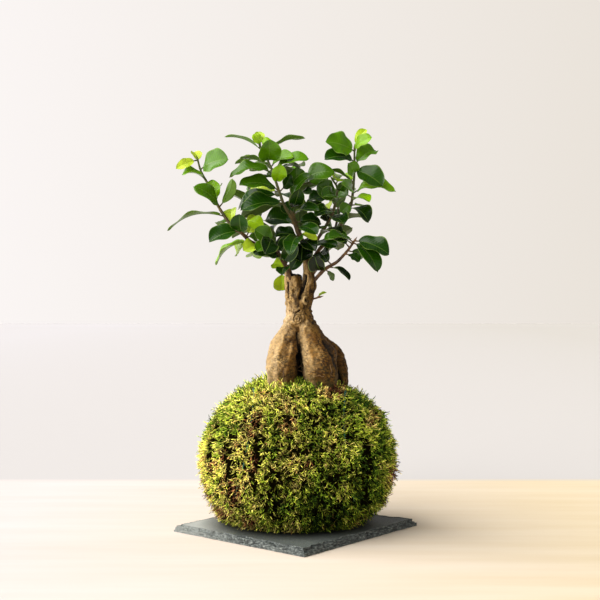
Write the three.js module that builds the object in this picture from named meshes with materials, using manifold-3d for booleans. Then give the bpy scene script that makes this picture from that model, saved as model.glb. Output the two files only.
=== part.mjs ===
// A kokedama: a fig tree with swollen roots, growing from a ball of soil that is wrapped in moss,
// bound with green thread and set on a square of riven slate.
// Millimetres, +Z up. The origin is the middle of the slate's underside, and -Y is the front.
import * as THREE from 'three';
import { mergeVertices } from 'three/addons/utils/BufferGeometryUtils.js';
import Module from 'manifold-3d';

const wasm = await Module();
wasm.setup();

// Driving dimensions
const GAP = 0.3; // between pieces that touch
const SLATE = {
  corners: [[-104, -10], [8, -113], [108, 17], [-12, 106]], // about 150 mm a side, cut by hand
  thick: 6,
  bevel: 4.5, // how far the broken edge slopes in from the underside to the top
  chip: 1.6, // depth of the flakes along the lower edge
  topChip: 2.6, // and along the edge of the top
  ledge: { in: 0.6, up: 1.8 }, // where the side breaks from steep to sloping
  steps: 14, // points on each side
  seed: 11,
};
const BALL = {
  middle: new THREE.Vector3(3, 6, 60), // the widest level
  radius: 82,
  up: 71, // height above the widest level
  down: 67, // depth below it, before the flat foot is cut
  squareness: 2.3, // 2 is an ellipse, more is fuller
  lump: 0.8, // how far tufts swell out and in
  flat: 0.1, // a point this close to the foot's level is drawn down to it
  facets: [22, 12], // of the moss outside, around and from top to bottom
  innerFacets: [14, 7], // and of the soil within it
};
const MOSS = 9; // thickness of the moss layer
const FOOT = SLATE.thick + GAP; // level of the ball's flat foot
const AIR = GAP + 0.1; // round wood that passes through or ends beside other pieces
const THREAD = {
  radius: 0.7,
  sink: 0.4, // depth of its middle in the moss
  steps: 20,
  sides: 4,
  groove: { radius: 2, sides: 3 }, // cut for it in the moss
  // The way each loop's plane faces: azimuth, elevation, and its distance from the ball's middle
  loops: [[188, 12, 53], [-10, 8, 52], [88, 10, 46]],
};
const LEAF = {
  thick: 0.7,
  petiole: 4, // the stalk's length
  petioleWide: 1.3,
  fold: 0.22, // how far the edges rise from the midrib, as a share of half the width
};
const LEAF_STATIONS = [0.3, 0.62, 0.88]; // where a blade's cross-sections lie, as shares of its length
const YOUNG = { wide: 12.5, stations: [0.4, 0.8] }; // a young leaf is narrow, and needs fewer of them
const CLEAR = 0.45; // air kept between leaves of different sprays
const SWING = 3; // a leaf that would cross another leans to the front or back in steps of this
const MOST_SWINGS = 10;
const LEANS = Array.from({ length: 2 * MOST_SWINGS + 1 },
  (_, k) => (k % 2 ? 1 : -1) * Math.ceil(k / 2) * SWING);

// Roots and trunk: [x, y, z, radius] down each limb
const LIMBS = {
  root_front_left: [[3, -1, 184, 4.6], [-1.2, -4, 174, 9.1], [-7.5, -9, 160, 12.6], [-10, -12, 148, 14.1],
    [-10.4, -13, 138, 13.7], [-11, -13, 128, 12], [-12, -12, 118, 8.5], [-12, -11, 110, 4]],
  root_front_right: [[8, -1, 184, 6], [11.5, -5, 173, 9.8], [16.2, -9, 158, 12.6], [20.2, -11, 147, 15.4],
    [22.2, -11, 137, 15.4], [23, -10, 127, 13.4], [23.5, -9, 118, 9], [23, -8, 110, 4]],
  root_right: [[12, 4, 176, 6], [20.5, 9, 165, 6], [29.5, 12, 155.5, 6.3], [36, 13, 148, 6.6],
    [39.4, 13, 139, 6.8], [40.4, 12, 129, 6.8], [40, 11, 119, 5.5], [39, 10, 111, 3]],
  root_back_left: [[0, 4, 182, 8], [-4, 12, 166, 8.5], [-9, 20, 152, 10], [-11, 25, 139, 10.5],
    [-11, 27, 127, 8.5], [-10, 26, 117, 6], [-9, 25, 109, 3]],
  root_back: [[8, 5, 180, 8], [12, 15, 163, 8], [16, 24, 149, 9], [19, 29, 136, 8.5],
    [19, 30, 125, 6.5], [18, 29, 114, 3]],
  core: [[5, 6, 126, 8], [5, 5, 140, 10], [4.5, 3, 154, 11], [4, 1, 166, 11], [4.6, 0, 178, 12.2],
    [4.6, 0, 188, 11.5], [3.4, 0, 199, 11.2], [-0.5, 0, 209, 7.6], [-1, 0, 220, 6.4]],
  stem_right: [[8, -1, 192, 7], [11.6, -2, 203, 6.4], [12.5, -3, 211, 6.3], [12.4, -4, 219, 5],
    [12.3, -4, 227, 4.1], [11.5, -5, 235, 3.6], [10.5, -6, 241, 3.2]],
  stem_left: [[-3.6, 3, 200, 4.6], [-4.8, 2.5, 212, 3.8], [-5.2, 2, 222, 3.3], [-6.4, 1, 230, 2.7]],
  pruned_stub: [[8, -6, 198, 3.6], [10, -12, 198.6, 3.3], [10.8, -13.6, 198.8, 2.6]],
  knot: [[2, -6, 182, 5], [2.2, -11.5, 182.6, 4.2], [2.2, -12.8, 182.6, 2.6]],
};
const LIMB_SIDES = 10;
const STEM_SIDES = 5;
// Facets left over from joining that are finer than this are merged
const SMALLEST_EDGE = { leafy: 0.05, wood: 0.1, ball: 0.12 };
const FLAT_TOPS = ['core', 'stem_right', 'stem_left', 'pruned_stub', 'knot'];

// Leafy stems. stem: points along it; radii: at its two ends.
// leaves: [share of the stem's length, from there to the leaf's tip, width, the way the upper face looks]
const SPRAYS = {
  spray_left_high: {
    stem: [[-7, 1, 230], [-22, -3, 241], [-38, -6, 249], [-44, -6, 255], [-55, -6, 264], [-63, -5, 275],
      [-68, -4, 284], [-75, -2, 299], [-81, 0, 310], [-84, 0, 320]],
    radii: [2.0, 0.8],
    leaves: [
      [0.93, [24, -18, 8], 24, [0, -1, 0.6]],
      [0.97, [-5, 6, 12], 10, [0.3, -0.8, 0.6]],
      [1.00, [-18, -8, -8], 9, [0, -1, 0.3]],
      [0.84, [-20, -14, 6], 15, [0.5, -0.3, 1]],
      [0.62, [-20, -18, 18], 16, [0.6, -0.8, 0.5]],
      [0.67, [-3, -14, 19], 14, [-0.3, -1, 0.3]],
      [0.63, [13, -8, 24], 10, [0.3, 1, -0.2]],
      [0.65, [2, 14, 20], 11, [-0.8, -0.6, 0.2]],
      [0.49, [-9, 24, 1], 13, [0, -1, 0.5]],
      [0.55, [-50, -6, -10], 15, [0, 0.05, 1]],
      [0.47, [-2, 22, 17], 12, [-0.2, -1, 0.2]],
    ],
  },
  spray_left_low: {
    stem: [[-21, -3.5, 240.5], [-30, -11, 244], [-38, -16, 249], [-43, -18, 253], [-46, -19, 257]],
    radii: [1.4, 0.8],
    leaves: [
      [1.00, [-26, -12, -8], 20, [0.2, -0.8, 1]],
      [0.84, [12, 8, -3], 9, [0.3, -0.8, 0.5]],
      [0.92, [-2, -14, 16], 16, [-0.2, -1, 0.2]],
      [0.62, [-31, 4, -19], 17, [-0.6, -0.2, 1]],
      [0.61, [-15, 14, -10], 14, [-0.4, -0.8, 0.6]],
      [0.46, [-4, 20, -9], 14, [0.2, -1, 0.3]],
      [0.10, [-12, -16, -2], 13, [0.1, -0.3, 1]],
      [0.80, [9, 12, 19], 14, [0.3, -1, 0.3]],
      [0.40, [-12, -10, -4], 13, [-0.1, -1, 0.4]],
    ],
  },
  spray_left_inner: {
    stem: [[-2, -3, 213], [-8, -11, 228], [-15, -19, 238], [-20, -24, 248], [-24, -27, 258]],
    radii: [1.5, 0.8],
    leaves: [
      [0.24, [-12, 4, 7], 13, [0.3, -1, 0.3]],
      [0.30, [-3, -14, -6], 12, [-0.3, -1, 0.4]],
      [0.44, [-16, -20, 4], 15, [0.3, -0.8, 0.9]],
      [0.67, [-14, -16, -2], 18, [-0.5, -0.9, 0.5]],
      [0.86, [-3, -20, -14], 16, [0.6, -1, 0.5]],
      [0.98, [-16, 6, 10], 15, [0.2, -1, 0.5]],
      [0.52, [-22, 12, 5], 13, [0, -1, 0.5]],
      [0.77, [-14, -18, 11], 16, [-0.2, -1, 0.5]],
      [0.40, [11, -14, 16], 13, [0.3, -1, 0.3]],
      [0.58, [12, -14, 13], 13, [0.4, -1, 0.4]],
    ],
  },
  spray_crown_middle: {
    stem: [[10.5, -6, 241], [7, -9, 248], [2, -12, 260], [-3, -12, 277], [-3, -10, 287], [0, -7, 295],
      [7, -4, 299], [13, -2, 300]],
    radii: [2.6, 0.8],
    leaves: [
      [0.12, [-1, -22, -17], 19, [0.1, -1, 0.5]],
      [0.18, [-9, -18, -15], 16, [-0.3, -1, 0.5]],
      [0.33, [-27, -18, 7], 24, [0, -0.9, 0.8]],
      [0.28, [17, -20, -4], 14, [-0.1, -0.8, 1]],
      [0.22, [15, -14, -5], 8, [0.5, -1, 0.2]],
      [0.64, [16, -16, 21], 17, [-0.4, -0.8, 0.8]],
      [0.60, [17, -18, 8], 16, [0, -0.5, 1]],
      [0.54, [7, -20, 14], 13, [0.3, -1, 0.3]],
      [0.90, [28, -15, 10], 19, [0, -0.9, 0.7]],
      [0.94, [21, 18, 6], 18, [0, -1, 0.3]],
      [0.80, [2, -18, 17], 16, [0.2, -0.8, 0.9]],
      [0.69, [-5, -12, 17], 12, [0.7, -0.8, 0.3]],
      [0.45, [22, -16, 4], 16, [0, -0.6, 1]],
      [0.14, [-23, -14, -5], 16, [-0.2, -1, 0.4]],
      [0.17, [-23, -8, 3], 14, [-0.2, -0.8, 0.7]],
      [0.05, [-12, -12, -20], 11, [0.1, -1, 0.2]],
      [0.36, [23, -10, 1], 14, [0.2, -0.9, 0.6]],
      [0.42, [-8, -10, 14], 12, [-0.2, -1, 0.2]],
      [0.16, [12, -18, -10], 14, [0.2, -1, 0.3]],
    ],
  },
  spray_crown_left: {
    stem: [[1, -14, 263], [-5, -18, 273], [-9, -20, 280], [-15, -21, 297], [-19, -20, 309], [-24, -18, 320],
      [-29, -16, 329]],
    radii: [1.5, 0.8],
    leaves: [
      [0.95, [-32, 4, 15], 11, [0, 0.1, 1]],
      [1.00, [-6, -4, 11], 9, [0.3, -1, 0.4]],
      [1.00, [-2, 2, 14], 9, [0.2, -1, 0.3]],
      [0.97, [9, -4, 8], 10, [-0.3, -1, 0.5]],
      [0.80, [1, -20, 16], 20, [0.1, -1, 0.4]],
      [0.73, [-26, -2, 9], 9, [0, 0.2, 1]],
      [0.71, [-32, 14, 8], 10, [0, 0.3, 1]],
      [0.69, [-20, 18, 4], 10, [-0.3, 1, 0.6]],
      [0.64, [-37, -10, -1], 19, [0, -0.6, 1]],
      [0.44, [-33, -12, 5], 18, [-0.1, -0.8, 0.8]],
      [0.28, [-36, -14, -5], 19, [-0.1, -0.8, 0.8]],
      [0.39, [-38, 8, -10], 15, [-0.2, -0.8, 0.6]],
      [0.33, [-36, 16, -13], 14, [-0.5, 1, 0.3]],
      [0.43, [-28, 22, 3], 18, [0, -1, 0.3]],
      [0.87, [33, 6, 18], 9, [0, 0.3, 1]],
      [0.73, [19, -14, 9], 15, [-0.2, -0.8, 0.9]],
      [0.66, [30, -12, 12], 13, [0.1, -0.8, 0.8]],
      [0.55, [4, -18, 13], 13, [0.2, -1, 0.2]],
      [0.58, [-8, -16, 6], 12, [-0.2, -0.9, 0.6]],
      [0.61, [22, 14, 12], 12, [0, 0.1, 1]],
      [0.43, [9, 14, 15], 12, [0.8, -0.6, 0.2]],
    ],
  },
  spray_crown_right: {
    stem: [[11, -4, 235], [17, 3, 247], [26, 5, 261], [33, 3, 274], [36, 1, 286], [37, 0, 296],
      [33, 0, 303]],
    radii: [1.8, 0.8],
    leaves: [
      [0.78, [-16, -14, 10], 18, [0, -1, 0.3]],
      [0.93, [2, 14, 8], 14, [0.3, -1, 0.3]],
      [0.74, [-24, -18, 2], 18, [0, -0.7, 0.9]],
      [0.70, [-11, -22, 5], 16, [0.2, -0.9, 0.6]],
      [0.85, [7, -10, 8], 9, [0.4, -1, 0.2]],
      [0.57, [-22, -14, 10], 17, [0.1, -0.5, 1]],
      [0.48, [-2, -22, 8], 16, [0.2, -0.7, 0.9]],
      [0.53, [12, -26, -6], 17, [0.1, -0.6, 0.9]],
      [0.37, [-3, -24, 2], 18, [-0.1, -0.7, 0.9]],
      [0.29, [19, -16, 4], 15, [0.3, -0.5, 1]],
      [0.18, [20, -18, -1], 12, [0.4, -0.9, 0.4]],
      [0.62, [-8, 20, 4], 15, [0, -1, 0.4]],
      [0.60, [-15, -16, -2], 14, [0, -0.9, 0.6]],
    ],
  },
  spray_right_high: {
    stem: [[15, -3, 230], [21, 3, 242], [31, 9, 252], [40, 11, 263], [43, 10, 273], [49, 8, 281],
      [51, 6, 294], [52, 3, 310], [52, 1, 323], [52, 0, 330]],
    radii: [1.9, 0.8],
    leaves: [
      [0.98, [-25, -14, 7], 23, [0.1, -1, 0.5]],
      [0.90, [-26, -16, 1], 19, [0.1, -0.9, 0.8]],
      [1.00, [10, 4, 18], 9, [-0.4, -1, 0.2]],
      [0.97, [14, -12, 12], 12, [-0.4, -0.8, 0.5]],
      [0.87, [19, 8, 16], 17, [-0.3, -1, 0.7]],
      [0.84, [24, -12, -14], 21, [0.1, -1, 0.5]],
      [0.79, [-5, -18, 10], 14, [0.3, -1, 0.2]],
      [0.73, [-24, 4, 14], 11, [0, 0.1, 1]],
      [0.66, [37, -8, 3], 15, [-0.1, -0.3, 1]],
      [0.60, [15, -18, 0], 14, [0.1, -0.6, 1]],
      [0.57, [18, 12, -4], 12, [0, -0.2, 1]],
      [0.54, [17, -18, -12], 17, [0.4, -0.8, 0.7]],
      [0.74, [-16, 16, 8], 13, [0, -0.2, 1]],
      [0.66, [-9, -16, 7], 13, [-0.3, -1, 0.3]],
      [0.63, [-11, 20, 7], 14, [-0.3, -1, 0.3]],
      [0.60, [-9, -12, -10], 11, [0.3, -1, 0.3]],
    ],
  },
  spray_right_low: {
    stem: [[15.5, -4.5, 214], [26, -9, 225], [36, -13, 231], [42, -15, 237], [47, -18, 243], [51, -20, 249]],
    radii: [1.7, 0.9],
    leaves: [
      [1.00, [29, -12, -11], 20, [0.1, -0.8, 0.8]],
      [0.96, [21, -14, -24], 18, [0.3, -0.8, 0.8]],
      [0.94, [-24, -14, 4], 15, [0.3, -0.6, 1]],
      [0.86, [-18, 10, 10], 16, [0.4, -0.8, 0.6]],
      [0.72, [13, -6, -6], 10, [0.3, -0.7, 0.6]],
      [0.80, [14, 10, -5], 9, [0.3, -0.9, 0.4]],
      [0.37, [18, -8, -11], 10, [0.5, -0.5, 0.8]],
      [0.31, [7, 4, -10], 6, [0.6, 1, 0.3]],
      [0.25, [-7, -14, 13], 15, [-0.4, -1, 0.2]],
      [0.44, [-11, 12, 13], 15, [-0.3, -1, 0.3]],
      [0.97, [-22, 14, 4], 14, [0, -0.6, 1]],
    ],
  },
  sprout_right: {
    stem: [[14, -3, 199], [21, -5, 201]],
    radii: [0.8, 0.7],
    leaves: [[0.8, [8, -3, 5], 6, [0, 0.2, 1]]],
  },
  sprout_left: {
    stem: [[-7, 5, 220], [-11.5, 9, 225]],
    radii: [0.9, 0.7],
    leaves: [[1, [-0.5, 5, -18], 16, [0.2, -1, 0.3]]],
  },
  spray_back_left: { stem: [[-4, 6, 222], [-16, 17, 243], [-28, 28, 260], [-37, 34, 276], [-42, 37, 290]],
    radii: [1.9, 0.8], turn: 20, count: 7 },
  spray_back_middle: { stem: [[10.5, -4, 237], [6, 11, 252], [2, 28, 270], [-2, 36, 288], [-5, 40, 306]],
    radii: [1.9, 0.8], turn: 80, count: 7 },
  spray_back_right: { stem: [[16, 2, 222], [27, 16, 238], [33, 26, 254], [38, 32, 270], [39, 34, 286]],
    radii: [1.8, 0.8], turn: 150, count: 7 },
};
const RULE = { first: 0.3, golden: 137.5, spread: 52, long: 40, short: 28, slim: 0.48 };

const COLOURS = {
  slate: [0x5b646a, 0.75], soil: [0x3a2a1e, 0.95], moss: [0x7c8a2c, 0.95], thread: [0x1f5a4a, 0.5],
  bark: [0xa08560, 0.8], leaf: [0x2f6b1c, 0.35],
};

// A random draw between 0 and 1 that is the same every run
function drawer(seed) {
  let state = seed;
  return () => {
    state = (state * 48271) % 2147483647;
    return state / 2147483647;
  };
}

// A closed surface over rings of points, drawn together to a point at each end
function skin(rings, first, last) {
  const n = rings[0].length;
  const points = [first, ...rings.flat(), last];
  const faces = [];
  const at = (ring, i) => 1 + ring * n + (i % n);
  for (let i = 0; i < n; i++) {
    faces.push(0, at(0, i + 1), at(0, i));
    for (let r = 0; r < rings.length - 1; r++) {
      faces.push(at(r, i), at(r, i + 1), at(r + 1, i + 1));
      faces.push(at(r, i), at(r + 1, i + 1), at(r + 1, i));
    }
    faces.push(at(rings.length - 1, i), at(rings.length - 1, i + 1), points.length - 1);
  }
  return new THREE.BufferGeometry().setFromPoints(points).setIndex(faces);
}

// A geometry as a solid that can be joined and cut
function solid(geometry) {
  const bare = geometry.clone();
  bare.deleteAttribute('normal');
  bare.deleteAttribute('uv');
  const merged = mergeVertices(bare, 1e-4);
  return new wasm.Manifold(new wasm.Mesh({
    numProp: 3,
    vertProperties: new Float32Array(merged.attributes.position.array),
    triVerts: new Uint32Array(merged.index.array),
  }));
}

const joined = (solids) => solids.reduce((all, s) => all.add(s));
const largest = (s) => s.decompose().sort((a, b) => b.volume() - a.volume())[0];

function named(name, made, colour, finest = SMALLEST_EDGE.leafy) {
  const { vertProperties, triVerts } = made.simplify(finest).getMesh();
  const geometry = new THREE.BufferGeometry()
    .setAttribute('position', new THREE.BufferAttribute(vertProperties, 3))
    .setIndex(new THREE.BufferAttribute(triVerts, 1));
  geometry.computeVertexNormals();
  const [color, roughness] = COLOURS[colour];
  const mesh = new THREE.Mesh(geometry, new THREE.MeshStandardMaterial({ color, roughness, metalness: 0 }));
  mesh.name = name;
  return mesh;
}

// A round limb through [x, y, z] points, with a radius at each
function limb(points, radii, { sides = LIMB_SIDES, flatTop = false, grow = 0 } = {}) {
  const line = points.map((p) => new THREE.Vector3(p[0], p[1], p[2]));
  const depth = new THREE.Vector3(0, 1, 0);
  const rings = line.map((p, i) => {
    const along = line[Math.min(i + 1, line.length - 1)].clone().sub(line[Math.max(i - 1, 0)]).normalize();
    const side = depth.clone().cross(along).normalize();
    const front = along.clone().cross(side);
    return Array.from({ length: sides }, (_, s) => {
      const a = (s / sides) * 2 * Math.PI;
      return p.clone().addScaledVector(side, (radii[i] + grow) * Math.cos(a))
        .addScaledVector(front, (radii[i] + grow) * Math.sin(a));
    });
  });
  const tail = (from, to, radius, flat) => to.clone()
    .addScaledVector(to.clone().sub(from).normalize(), flat ? grow : radius * 0.5 + grow);
  const n = line.length - 1;
  const foot = tail(line[1], line[0], radii[0], false);
  const top = tail(line[n - 1], line[n], radii[n], flatTop);
  return solid(skin(rings, foot, top));
}

// The tree's woody body: roots, trunk and the two cut stems above it
function woodyBody(grow = 0) {
  return joined(Object.entries(LIMBS).map(([name, rows]) => limb(rows, rows.map((row) => row[3]),
    { flatTop: FLAT_TOPS.includes(name), grow })));
}

// How far a point is outside (above 1) or inside (below 1) the ball's rounded form
function ballLevel(x, y, z, less = 0) {
  const level = z > BALL.middle.z ? BALL.up - less : BALL.down - less;
  const across = Math.hypot(x - BALL.middle.x, y - BALL.middle.y) / (BALL.radius - less);
  return across ** BALL.squareness + (Math.abs(z - BALL.middle.z) / level) ** BALL.squareness;
}

// The point where a line from a start inside the ball leaves it, no lower than the floor given
function ballSurface(start, way, less, floor) {
  let inside = 0;
  let outside = 2 * BALL.radius;
  for (let i = 0; i < 30; i++) {
    const half = (inside + outside) / 2;
    const p = start.clone().addScaledVector(way, half);
    if (ballLevel(p.x, p.y, p.z, less) < 1 && p.z > floor) inside = half;
    else outside = half;
  }
  return start.clone().addScaledVector(way, inside);
}

// Tufts: a slow swell over the ball's surface
function lumps(way) {
  const broad = Math.sin(7 * way.x + 5 * way.z) * Math.sin(6 * way.y - 4 * way.z + 1);
  return broad + 0.6 * Math.sin(11 * way.z + 8 * way.x * way.y);
}

// The ball's form, less a thickness all over, on a flat foot
function ballBody(less, floor, lump, facets) {
  const base = new THREE.SphereGeometry(1, ...facets);
  base.rotateX(Math.PI / 2);
  const p = base.attributes.position;
  for (let i = 0; i < p.count; i++) {
    const way = new THREE.Vector3().fromBufferAttribute(p, i).normalize();
    const on = ballSurface(BALL.middle, way, less - lump * lumps(way), floor);
    if (on.z < floor + BALL.flat) on.z = floor;
    p.setXYZ(i, on.x, on.y, on.z);
  }
  return solid(base);
}

// One loop of thread round the ball, in a plane
function threadLoop([azimuth, elevation, offset], radius, sides) {
  const { steps } = THREAD;
  const a = THREE.MathUtils.degToRad(azimuth);
  const e = THREE.MathUtils.degToRad(elevation);
  const facing = new THREE.Vector3(Math.cos(a) * Math.cos(e), Math.sin(a) * Math.cos(e), Math.sin(e));
  const u = new THREE.Vector3(-Math.sin(a), Math.cos(a), 0);
  const v = facing.clone().cross(u);
  const middle = BALL.middle.clone().addScaledVector(facing, offset);
  const points = [];
  const faces = [];
  for (let i = 0; i < steps; i++) {
    const turn = (i / steps) * 2 * Math.PI;
    const way = u.clone().multiplyScalar(Math.cos(turn)).addScaledVector(v, Math.sin(turn));
    const on = ballSurface(middle, way, THREAD.sink, FOOT + THREAD.radius + THREAD.sink);
    for (let s = 0; s < sides; s++) {
      const b = (s / sides) * 2 * Math.PI;
      const across = way.clone().multiplyScalar(radius * Math.cos(b));
      points.push(on.clone().add(across).addScaledVector(facing, radius * Math.sin(b)));
      const here = i * sides + s;
      const beside = i * sides + ((s + 1) % sides);
      const next = ((i + 1) % steps) * sides;
      faces.push(here, next + s, beside, beside, next + s, next + ((s + 1) % sides));
    }
  }
  return solid(new THREE.BufferGeometry().setFromPoints(points).setIndex(faces));
}

// The slate: an underside cut by hand, edges flaked off at a slope, and a flat top
function slateTile() {
  const draw = drawer(SLATE.seed);
  const outline = (inset, rough, z) => {
    const ring = [];
    SLATE.corners.forEach(([x, y], c) => {
      const [toX, toY] = SLATE.corners[(c + 1) % SLATE.corners.length];
      const long = Math.hypot(toX - x, toY - y);
      const [inX, inY] = [-(toY - y) / long, (toX - x) / long];
      for (let i = 0; i < SLATE.steps; i++) {
        const t = (i + 0.5) / SLATE.steps;
        const keep = Math.min(1, Math.max(inset / long, 0));
        const along = keep + t * (1 - 2 * keep);
        const cut = inset + rough * (draw() - 0.5);
        const onX = x + (toX - x) * along;
        const onY = y + (toY - y) * along;
        ring.push(new THREE.Vector3(onX + inX * cut, onY + inY * cut, z));
      }
    });
    return ring;
  };
  const rings = [
    outline(0, SLATE.chip, 0),
    outline(SLATE.ledge.in, SLATE.chip, SLATE.ledge.up),
    outline(SLATE.bevel, SLATE.topChip, SLATE.thick),
  ];
  return solid(skin(rings, new THREE.Vector3(0, 0, 0), new THREE.Vector3(0, 0, SLATE.thick)));
}

// Half a blade's width at a share of its length, as a share of its widest
const halfWide = (share) => (share ** 0.75 * (1 - share) ** 0.5) / (0.6 ** 0.75 * 0.4 ** 0.5);

// How much a leaf arches: each leaf of a spray a little differently
const arch = (index) => 0.09 + 0.09 * ((index * 0.618) % 1);

// A leaf with its stalk, from a point on the stem to its tip
function leafSolid(from, to, wide, face, index, grow = 0, stalk = true) {
  const long = to.length();
  const ahead = to.clone().normalize();
  const upper = new THREE.Vector3(...face);
  upper.addScaledVector(ahead, -upper.dot(ahead)).normalize();
  const side = ahead.clone().cross(upper);
  const bow = arch(index) * long;
  const petiole = Math.min(LEAF.petiole, 0.25 * long) / long;
  const section = (share, half, thick) => {
    const mid = from.clone().addScaledVector(to, share);
    mid.addScaledVector(upper, bow * 4 * share * (1 - share));
    const rise = (4 * bow * (1 - 2 * share)) / long;
    const out = upper.clone().addScaledVector(ahead, -rise).normalize();
    const edge = (sign, lift) => mid.clone().addScaledVector(side, sign * half)
      .addScaledVector(out, (sign ? LEAF.fold * half : 0) + lift * thick);
    return [edge(-1, 0.5), edge(0, 0.5), edge(1, 0.5), edge(1, -0.5), edge(0, -0.5), edge(-1, -0.5)];
  };
  const thick = LEAF.thick + 2 * grow;
  const stations = wide < YOUNG.wide ? YOUNG.stations : LEAF_STATIONS;
  const rings = stations.map((s) => (
    section(petiole + (1 - petiole) * s, (wide / 2) * halfWide(s) + grow, thick)));
  rings.unshift(stalk ? section(0.01, LEAF.petioleWide / 2, LEAF.petioleWide)
    : section(petiole, LEAF.petioleWide / 2 + grow, thick));
  const tip = from.clone().addScaledVector(to, 1 + grow / long);
  const start = rings[0].reduce((sum, p) => sum.add(p), new THREE.Vector3()).divideScalar(6);
  return solid(skin(rings, start, tip));
}

// The point at a share of a line's length
function along(points, share) {
  const line = points.map((p) => new THREE.Vector3(...p));
  const lengths = line.slice(1).map((p, i) => p.distanceTo(line[i]));
  let left = share * lengths.reduce((sum, l) => sum + l, 0);
  let i = 0;
  while (i < lengths.length - 1 && left > lengths[i]) left -= lengths[i++];
  return line[i].clone().lerp(line[i + 1], Math.min(1, left / lengths[i]));
}

// Leaves set round a stem by the golden angle, shorter towards its tip
function leavesByRule({ stem, turn, count }) {
  return Array.from({ length: count }, (_, i) => {
    const at = RULE.first + ((1 - RULE.first) * i) / (count - 1);
    const ahead = along(stem, Math.min(1, at + 0.1)).sub(along(stem, at - 0.1)).normalize();
    const side = new THREE.Vector3(0, 0, 1).cross(ahead).normalize();
    const top = ahead.clone().cross(side);
    const a = THREE.MathUtils.degToRad(turn + i * RULE.golden);
    const spread = THREE.MathUtils.degToRad(RULE.spread);
    const long = RULE.long + (RULE.short - RULE.long) * at;
    const to = ahead.clone().multiplyScalar(Math.cos(spread))
      .addScaledVector(side, Math.sin(spread) * Math.cos(a))
      .addScaledVector(top, Math.sin(spread) * Math.sin(a))
      .multiplyScalar(long);
    const face = ahead.clone().add(new THREE.Vector3(0, 0, 0.6));
    return [at, to.toArray(), long * RULE.slim, face.toArray()];
  });
}

// A spray's stem
function stemSolid({ stem, radii }, grow = 0) {
  const taper = stem.map((_, i) => radii[0] + ((radii[1] - radii[0]) * i) / (stem.length - 1));
  return limb(stem, taper, { sides: STEM_SIDES, grow });
}

const wood = woodyBody();
const woodWithAir = woodyBody(AIR);
const stems = {};
const stemAir = {};
for (const [name, spray] of Object.entries(SPRAYS)) {
  const cut = joined([woodWithAir, ...Object.values(stemAir)]);
  stems[name] = largest(stemSolid(spray).subtract(cut));
  stemAir[name] = stemSolid(spray, AIR);
}

const crosses = (a, others) => others.some((b) => !a.intersect(b).isEmpty());

// A spray: its stem with its leaves, each leaning to the front or back until it is clear of other pieces
function sprayBody(name, placed) {
  const spray = SPRAYS[name];
  const rows = spray.leaves ?? leavesByRule(spray);
  const others = Object.keys(stems).filter((n) => n !== name).map((n) => stems[n]);
  const strangers = [wood, ...others, ...placed];
  const siblings = [];
  const leaves = rows.map(([at, to, wide, face], index) => {
    const from = along(spray.stem, at);
    const tries = LEANS.map((lean) => new THREE.Vector3(to[0], to[1] + lean, to[2]));
    const grown = (way, stalk) => leafSolid(from, way, wide, face, index, CLEAR, stalk);
    const free = tries.filter((way) => !crosses(grown(way, true), strangers));
    if (!free.length) throw new Error(`${name}: leaf ${index} crosses another piece however it leans`);
    const best = free.find((way) => !crosses(grown(way, false), siblings)) ?? free[0];
    siblings.push(leafSolid(from, best, wide, face, index, 0, false));
    return leafSolid(from, best, wide, face, index);
  });
  return { body: joined([stems[name], ...leaves]), leaves };
}

const tree = new THREE.Group();
tree.add(named('slate_tile', slateTile(), 'slate'));

const soil = ballBody(MOSS + GAP, FOOT + MOSS + GAP, 0, BALL.innerFacets).subtract(woodWithAir);
const cavity = ballBody(MOSS, FOOT + MOSS, 0, BALL.innerFacets);
const grooves = THREAD.loops.map((loop) => threadLoop(loop, THREAD.groove.radius, THREAD.groove.sides));
const moss = ballBody(0, FOOT, BALL.lump, BALL.facets).subtract(joined([cavity, woodWithAir, ...grooves]));
const thread = joined(THREAD.loops.map((loop) => threadLoop(loop, THREAD.radius, THREAD.sides)));
tree.add(named('soil_ball', largest(soil), 'soil', SMALLEST_EDGE.ball));
tree.add(named('moss_layer', largest(moss), 'moss', SMALLEST_EDGE.ball));
tree.add(named('binding_thread', thread, 'thread'));
tree.add(named('trunk', wood, 'bark', SMALLEST_EDGE.wood));

const placed = [];
for (const name of Object.keys(SPRAYS)) {
  const { body, leaves } = sprayBody(name, placed);
  placed.push(...leaves);
  tree.add(named(name, body, 'leaf'));
}

export default tree;
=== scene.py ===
# %% [markdown]
# # A kokedama, dressed piece by piece
#
# A kokedama is a small tree whose roots are packed in a ball of soil, wrapped in moss and bound with thread.
# This one is a fig with swollen roots, and it stands on a square of slate. The construction is already there
# as plain solids, in metres, with the middle of the slate's underside at the origin. The script loads them as
# a fixed frame and makes a finely shaped piece in the place of each, so every size below is in millimetres.

# %% Load the frame
import math

import bpy
import numpy as np
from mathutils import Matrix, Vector
from mathutils.bvhtree import BVHTree


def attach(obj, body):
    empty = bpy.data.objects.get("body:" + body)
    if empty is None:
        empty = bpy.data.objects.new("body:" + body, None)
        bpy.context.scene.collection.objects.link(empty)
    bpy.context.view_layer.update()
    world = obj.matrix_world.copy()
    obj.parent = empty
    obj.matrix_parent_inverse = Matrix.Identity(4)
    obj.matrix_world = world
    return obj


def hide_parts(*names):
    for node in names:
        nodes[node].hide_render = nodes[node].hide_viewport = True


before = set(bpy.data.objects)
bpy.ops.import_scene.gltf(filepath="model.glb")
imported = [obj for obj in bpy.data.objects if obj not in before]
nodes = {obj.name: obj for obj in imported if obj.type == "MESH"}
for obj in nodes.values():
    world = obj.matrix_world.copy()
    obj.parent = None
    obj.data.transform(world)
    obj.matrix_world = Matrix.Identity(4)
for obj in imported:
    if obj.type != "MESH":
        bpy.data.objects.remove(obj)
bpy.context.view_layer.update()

MM = 0.001
print("pieces in the frame:", sorted(nodes))

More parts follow.
